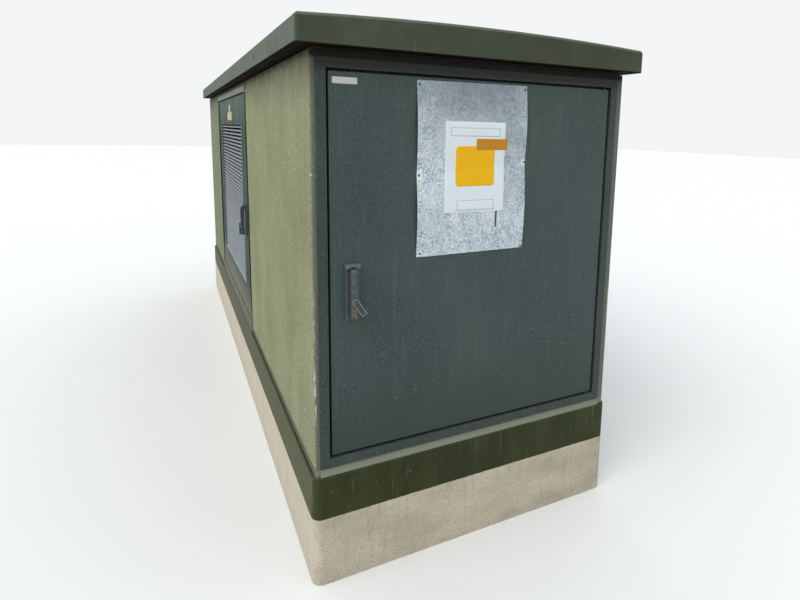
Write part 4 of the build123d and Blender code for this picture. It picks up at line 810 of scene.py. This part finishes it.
zincSheet = {
    "width": 0.435,
    "height": 0.596,
    "lean": 0.4,  # degrees, to the left at the top
    "thickness": 0.0013,
    "cornerRadius": 0.004,
    "edgeBulge": 0.0095,  # of the upright edges between two screws
    "middleBulge": 0.0050,
    "endBulge": 0.0015,  # of the top and bottom edges between their corners
    "screwHeights": (0.018, 0.470, 0.540, 0.980),  # low row, middle left, middle right and top row, as shares
    "screws": [(-0.2655, 1.707), (0.1545, 1.710), (-0.2640, 1.407), (0.1582, 1.449), (-0.2572, 1.137),
               (0.1585, 1.134)],
    "screw": (circle(0.0044, 24), [(0.0, 0.0), (0.0, 0.0008), (0.0007, 0.0017), (0.0020, 0.0024),
                                   (0.0031, 0.0026), (0.0034, 0.0016)]),  # outline, and insets with heights
    # Places below are the middle across, the middle height, the width and the height.
    "dabs": [(-0.2608, 1.408, 0.0205, 0.037), (0.1545, 1.449, 0.017, 0.024), (-0.2575, 1.137, 0.019, 0.020)],
    "dabRounding": 0.42,  # corner radius as a share of the dab's width
    "sticker": (-0.050, 1.4315, 0.240, 0.317),
    "field": (-0.050, 1.436, 0.156, 0.140),
    "strip": (0.0155, 1.5125, 0.127, 0.039),
    "boxes": [(-0.0505, 1.5545, 0.199, 0.029), (-0.0460, 1.2985, 0.150, 0.036)],
    "boxLine": 0.0018,
}


def sheetLift(x, z):
    # The sheet bows out between its screws: side runs across it from -1 to 1, and up from 0 to 1. A sine
    # arches from screw to screw, times 0.3 + 0.7 side squared. One shallow sine over the whole height, raised
    # a little at the ends too, is added times 1 - side squared.
    side = (2 * x - sheetLow[0] - sheetHigh[0]) / (sheetHigh[0] - sheetLow[0])
    up = (z - sheetLow[2]) / (sheetHigh[2] - sheetLow[2])
    low, left, right, high = zincSheet["screwHeights"]
    middle = (left + right) / 2 + side * (right - left) / 2
    lower = np.clip((up - low) / (middle - low), 0, 1)
    upper = np.clip((up - middle) / (high - middle), 0, 1)
    arches = np.sin(np.pi * lower) + np.sin(np.pi * upper)
    edge = zincSheet["edgeBulge"] * np.clip(arches, 0, 1) * (0.3 + 0.7 * side ** 2)
    belly = zincSheet["middleBulge"] * np.sin(np.pi * np.clip(up, 0, 1)) + zincSheet["endBulge"]
    return edge + belly * (1 - np.clip(side ** 2, 0, 1))


def onSheet(across, height, outline, profile, raised=0.0, fill=1, turn=0.0):
    # A form on the bowed sheet: its own heights stand on the sheet's face
    origin = (across, sheetHigh[1] - zincSheet["thickness"] - raised, height)
    lift = lambda x, y: sheetLift(across + x, height + y)
    return form(outline, profile, origin, "front", fill, lift, turn)


def sheetPatch(place, radius, steps, spacing, profile, raised, fill):
    # A thin rounded rectangle on the sheet
    across, height, wide, tall = place
    return onSheet(across, height, rectangle(wide, tall, radius, steps, spacing), profile, raised, fill)


def makeSheet():
    middle = ((sheetLow[0] + sheetHigh[0]) / 2, (sheetLow[2] + sheetHigh[2]) / 2)
    outline = rectangle(zincSheet["width"], zincSheet["height"], zincSheet["cornerRadius"], 5, 0.008)
    profile = [(0.0, -zincSheet["thickness"]), (0.0, -0.0002), (0.0002, 0.0)]
    flat = onSheet(*middle, outline, profile, fill=26, turn=math.radians(zincSheet["lean"]))
    sheet = makePiece("frontZincSheet", [flat], "galvanised", "front_door")
    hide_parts("front_galvanised_plate")

    screws = [onSheet(*place, *zincSheet["screw"], 0.0006) for place in zincSheet["screws"]]
    makePiece("sheetScrews", screws, "dullScrew", "front_door")
    dabs, smear = [], slab(0.0006, 0.0003)
    for place in zincSheet["dabs"]:
        dabs.append(sheetPatch(place, zincSheet["dabRounding"] * place[2], 6, 0.004, smear, 0.0004, 4))
    makePiece("sheetFillerDabs", dabs, "fillerWhite", "front_door")

    foil = slab(0.0002, 0.0001)
    for name, place, finish, *cut in (
            ("whiteSticker", "sticker", "whiteFoil", 0.003, 4, 0.012, slab(0.0003, 0.0001), 0.0, 12),
            ("amberField", "field", "amberFoil", 0.012, 6, 0.012, foil, 0.0003, 8),
            ("orangeStrip", "strip", "orangeFoil", 0.002, 4, 0.010, foil, 0.0005, 6)):
        makePiece(name, [sheetPatch(zincSheet[place], *cut)], finish, "front_door")
    # Two thin frames on the sticker: a grey panel under a white one that leaves only its edge showing
    lines, panels, ink = [], [], slab(0.00012, 0.00004)
    inset = 2 * zincSheet["boxLine"]
    for across, height, wide, tall in zincSheet["boxes"]:
        lines.append(sheetPatch((across, height, wide, tall), 0.001, 3, 0.010, ink, 0.0003, 4))
        inner = (across, height, wide - inset, tall - inset)
        panels.append(sheetPatch(inner, 0.001, 3, 0.010, ink, 0.00042, 4))
    makePiece("stickerFrames", lines, "greyInk", "front_door")
    makePiece("stickerPanels", panels, "whiteFoil", "front_door")


makeSheet()
print("galvanised sheet and its stickers made")


# Small labels on the front and side doors

smallLabels = {
    "pale": (-0.516, 1.704, 0.080, 0.020),  # across, up, wide, tall
    "yellow": [(2.3075, 1.617, 0.262, 0.052), (2.3075, 1.6655, 0.085, 0.049)],  # along from the front wall
    "foil": slab(0.0004, 0.0001),
}


def makeLabels():
    foil = smallLabels["foil"]
    across, up, wide, tall = smallLabels["pale"]
    place = (across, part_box("front_door_leaf")[0][1], up)
    label = form(rectangle(wide, tall, 0.002, 4), foil, place, "front")
    makePiece("smallWhiteLabel", [label], "paleFoil", "front_door")
    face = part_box("side_door_leaf")[0][0]
    fields = []
    for along, up, wide, tall in smallLabels["yellow"]:
        fields.append(form(rectangle(wide, tall, 0.006, 5), foil, (face, wallFront + along, up), "left"))
    makePiece("yellowLabel", fields, "yellowFoil", "side_door")


makeLabels()
print("labels made")


# Handles: the collar and the keyhole of each lock cylinder

doorFaces = {"front": "front", "side": "left", "rear": "rear"}

handleTrim = {
    # The closed cover clears the cylinder by 0.3 mm, so the collar and the slot stay under that.
    "collar": (circle(0.0052, 24), [(0.0, 0.0), (0.0, 0.0001), (0.0004, 0.0002), (0.0016, 0.0002)]),
    "slot": (rectangle(0.0012, 0.0075, 0.0005, 3), slab(0.0001)),
    "slotOut": 0.00015,
    "lockRadius": 0.0085,  # the round of the lock cylinder, at its top
}


def outerPlace(node, facing):
    # The middle of a node's box, moved out to its outer side
    low, high = (np.array(corner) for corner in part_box(node))
    out = np.array(facings[facing][2], float)
    return np.where(out > 0, high, np.where(out < 0, low, (low + high) / 2))


def makeHandleTrim():
    for door, facing in doorFaces.items():
        place = outerPlace(door + "_lock_cylinder", facing)
        place[2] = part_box(door + "_lock_cylinder")[1][2] - handleTrim["lockRadius"]
        collar = form(*handleTrim["collar"], place, facing)
        makePiece(door + "KeyCollar", [collar], "lock_brass", door + "_lever")
        place = place + np.array(facings[facing][2], float) * handleTrim["slotOut"]
        slot = form(*handleTrim["slot"], place, facing)
        makePiece(door + "KeySlot", [slot], "moulded_dark", door + "_lever")


makeHandleTrim()
print("handle trim made")


# Transformer fittings: rubber caps and sleeves on the cable elbows, nuts on the low-voltage terminals

transformer = {
    "elbows": (-0.150, 0.0, 0.150),
    "capPlace": (-0.0295, 1.530),  # along and up
    "cap": (circle(0.024, 36), [(-0.003, -0.012), (-0.004, -0.006), (-0.003, 0.0), (0.002, 0.006),
                                (0.010, 0.010), (0.015, 0.011), (0.016, 0.016), (0.019, 0.018)]),
    "sleevePlace": (-0.0895, 1.510),
    "sleeve": (circle(0.020, 36), [(-0.003, -0.030), (-0.0045, -0.026), (-0.0045, -0.018), (-0.002, -0.014),
                                   (-0.001, 0.010), (0.003, 0.045), (0.0045, 0.060), (0.0050, 0.066)]),
    "terminals": (-0.1575, -0.0525, 0.0525, 0.1575),
    "terminalPlace": (0.5805, 1.426),
    "washer": (circle(0.0115, 28), slab(0.002, 0.0005)),
    "nut": (hexagon(0.017, 0.0015), slab(0.010, 0.001)),
    "stud": (circle(0.005, 20), slab(0.019, 0.0015)),
}


def fittings(kind, spots, place, facing, fill=1):
    # The same form at each of the spots across
    return [form(*transformer[kind], (x, *transformer[place]), facing, fill) for x in transformer[spots]]


def makeTransformerFittings():
    makePiece("elbowCaps", fittings("cap", "elbows", "capPlace", "top", 2), "bootRubber")
    makePiece("cableSleeves", fittings("sleeve", "elbows", "sleevePlace", "front"), "bootRubber")
    makePiece("terminalWashers", fittings("washer", "terminals", "terminalPlace", "top"), "screwZinc")
    makePiece("terminalNuts", fittings("nut", "terminals", "terminalPlace", "top"), "screwZinc")
    makePiece("terminalStuds", fittings("stud", "terminals", "terminalPlace", "top"), "screwZinc")


makeTransformerFittings()
print("transformer fittings made")


# Switchgear front: mimic lines, indicator windows and a pressure dial

switchgear = {
    "face": wallFront + 0.350,
    "shafts": (-0.290, 0.0, 0.290),
    "shaftHeight": 1.350,
    "shaftMargin": 0.045,  # between a shaft's axis and the lines
    "lineWidth": 0.006,
    "busHeight": 1.560,
    "windowHeight": 1.225,
    "windowMargin": 0.022,
    "windowSpacing": 0.032,
    "rim": (circle(0.011, 28), [(0, 0), (0, 0.003), (0.001, 0.004), (0.003, 0.004), (0.0035, 0.002)]),
    "glass": (circle(0.0068, 24), slab(0.0016, 0.0006)),
    "glassOut": 0.0015,  # from the face
    "dial": (0.340, 1.630),
    "dialRim": (circle(0.028, 48), [(0, 0), (0, 0.010), (0.001, 0.012), (0.0035, 0.012), (0.0045, 0.009)]),
    "dialFace": (circle(0.024, 48), slab(0.0012, 0.0004)),
    "dialOut": 0.0088,
    "tick": (rectangle(0.0012, 0.0045, 0.0003, 2), slab(0.0003, 0.0001)),
    "tickAngles": (-120, 121, 30),  # degrees: first, past the last, step
    "tickReach": 0.0195,
    "marksOut": 0.0099,
    "needle": (rectangle(0.0018, 0.030, 0.0006, 3), slab(0.0008, 0.0002)),
    "needlePlace": (0.003, 0.0045),  # its middle, from the dial's
    "needleTurn": -0.6,
}


def makeSwitchgearFront():
    face = switchgear["face"]
    width = switchgear["lineWidth"]
    bus = switchgear["busHeight"]
    shaft = switchgear["shaftHeight"]
    margin = switchgear["shaftMargin"]
    window = switchgear["windowHeight"]
    stretches = ((shaft + margin, bus), (window + switchgear["windowMargin"], shaft - margin))
    lines, rims, windows = [], [], []
    for x in switchgear["shafts"]:
        for low, high in stretches:
            line = rectangle(width, high - low, 0.001, 3)
            lines.append(form(line, slab(0.0012, 0.0003), (x, face, (low + high) / 2), "front"))
        for step in (-1, 0, 1):
            across = x + step * switchgear["windowSpacing"]
            rims.append(form(*switchgear["rim"], (across, face, window), "front"))
            place = (across, face - switchgear["glassOut"], window)
            windows.append(form(*switchgear["glass"], place, "front"))
    reach = 2 * switchgear["shafts"][2] + width
    lines.append(form(rectangle(reach, width, 0.001, 3), slab(0.0013, 0.0003), (0, face, bus), "front"))
    makePiece("mimicLines", lines, "mimicRed")
    makePiece("indicatorRims", rims, "moulded_dark")
    makePiece("indicatorWindows", windows, "dialFace")

    x, z = switchgear["dial"]
    rim = form(*switchgear["dialRim"], (x, face, z), "front")
    makePiece("pressureDialRim", [rim], "moulded_dark")
    dial = form(*switchgear["dialFace"], (x, face - switchgear["dialOut"], z), "front")
    makePiece("pressureDialFace", [dial], "dialFace")
    marks = []
    along = face - switchgear["marksOut"]
    for angle in np.radians(np.arange(*switchgear["tickAngles"])):
        across, up = switchgear["tickReach"] * math.sin(angle), switchgear["tickReach"] * math.cos(angle)
        marks.append(form(*switchgear["tick"], (x + across, along, z + up), "front", turn=-angle))
    across, up = switchgear["needlePlace"]
    needle = form(*switchgear["needle"], (x + across, along, z + up), "front", turn=switchgear["needleTurn"])
    marks.append(needle)
    makePiece("pressureDialMarks", marks, "moulded_dark")


makeSwitchgearFront()
print("switchgear front made")


# Low-voltage board: bolts and phase marks on the busbars, screws on the fuse strips

board = {
    "busbarFace": wallFront + 3.230,
    "busbars": (0.940, 0.800, 0.660, 0.520),
    "phases": ((0.16, 0.07, 0.03), (0.02, 0.02, 0.022), (0.28, 0.29, 0.30), (0.02, 0.10, 0.42)),
    "markX": 0.425,
    "mark": (circle(0.012, 28), slab(0.0008, 0.0003)),
    "boltX": (-0.345, -0.135, 0.135, 0.345),
    "boltHead": (hexagon(0.016, 0.001), slab(0.008, 0.001)),
    "boltWasher": (circle(0.0115, 24), slab(0.0018, 0.0004)),
    "stripFace": wallFront + 3.284,
    "strips": (-0.240, 0.0, 0.240),
    "stripScrewX": 0.033,  # to each side of the strip's middle
    "stripScrewHeights": (0.530, 0.955),
    "stripScrew": (circle(0.0045, 20), [(0, 0), (0, 0.001), (0.0008, 0.0022), (0.002, 0.0026),
                                        (0.0026, 0.0012)]),
}


def makeBoardDetails():
    bolts, screws = [], []
    face = board["busbarFace"]
    for number, (z, colour) in enumerate(zip(board["busbars"], board["phases"])):
        for x in board["boltX"]:
            bolts.append(form(*board["boltHead"], (x, face, z), "rear"))
            bolts.append(form(*board["boltWasher"], (x, face, z), "rear"))
        paler = tuple(min(1.0, 1.25 * value + 0.02) for value in colour)
        finish = "phase" + str(number)
        plainFinish(finish, "phaseMark" + str(number), colour, paler, 0.5)
        mark = form(*board["mark"], (board["markX"], face, z), "rear")
        makePiece("phaseMark" + str(number + 1), [mark], finish)
    for x in board["strips"]:
        for side in (-1, 1):
            for z in board["stripScrewHeights"]:
                place = (x + side * board["stripScrewX"], board["stripFace"], z)
                screws.append(form(*board["stripScrew"], place, "rear"))
    makePiece("busbarBolts", bolts, "screwZinc")
    makePiece("stripScrews", screws, "screwZinc")


makeBoardDetails()
print("board details made")
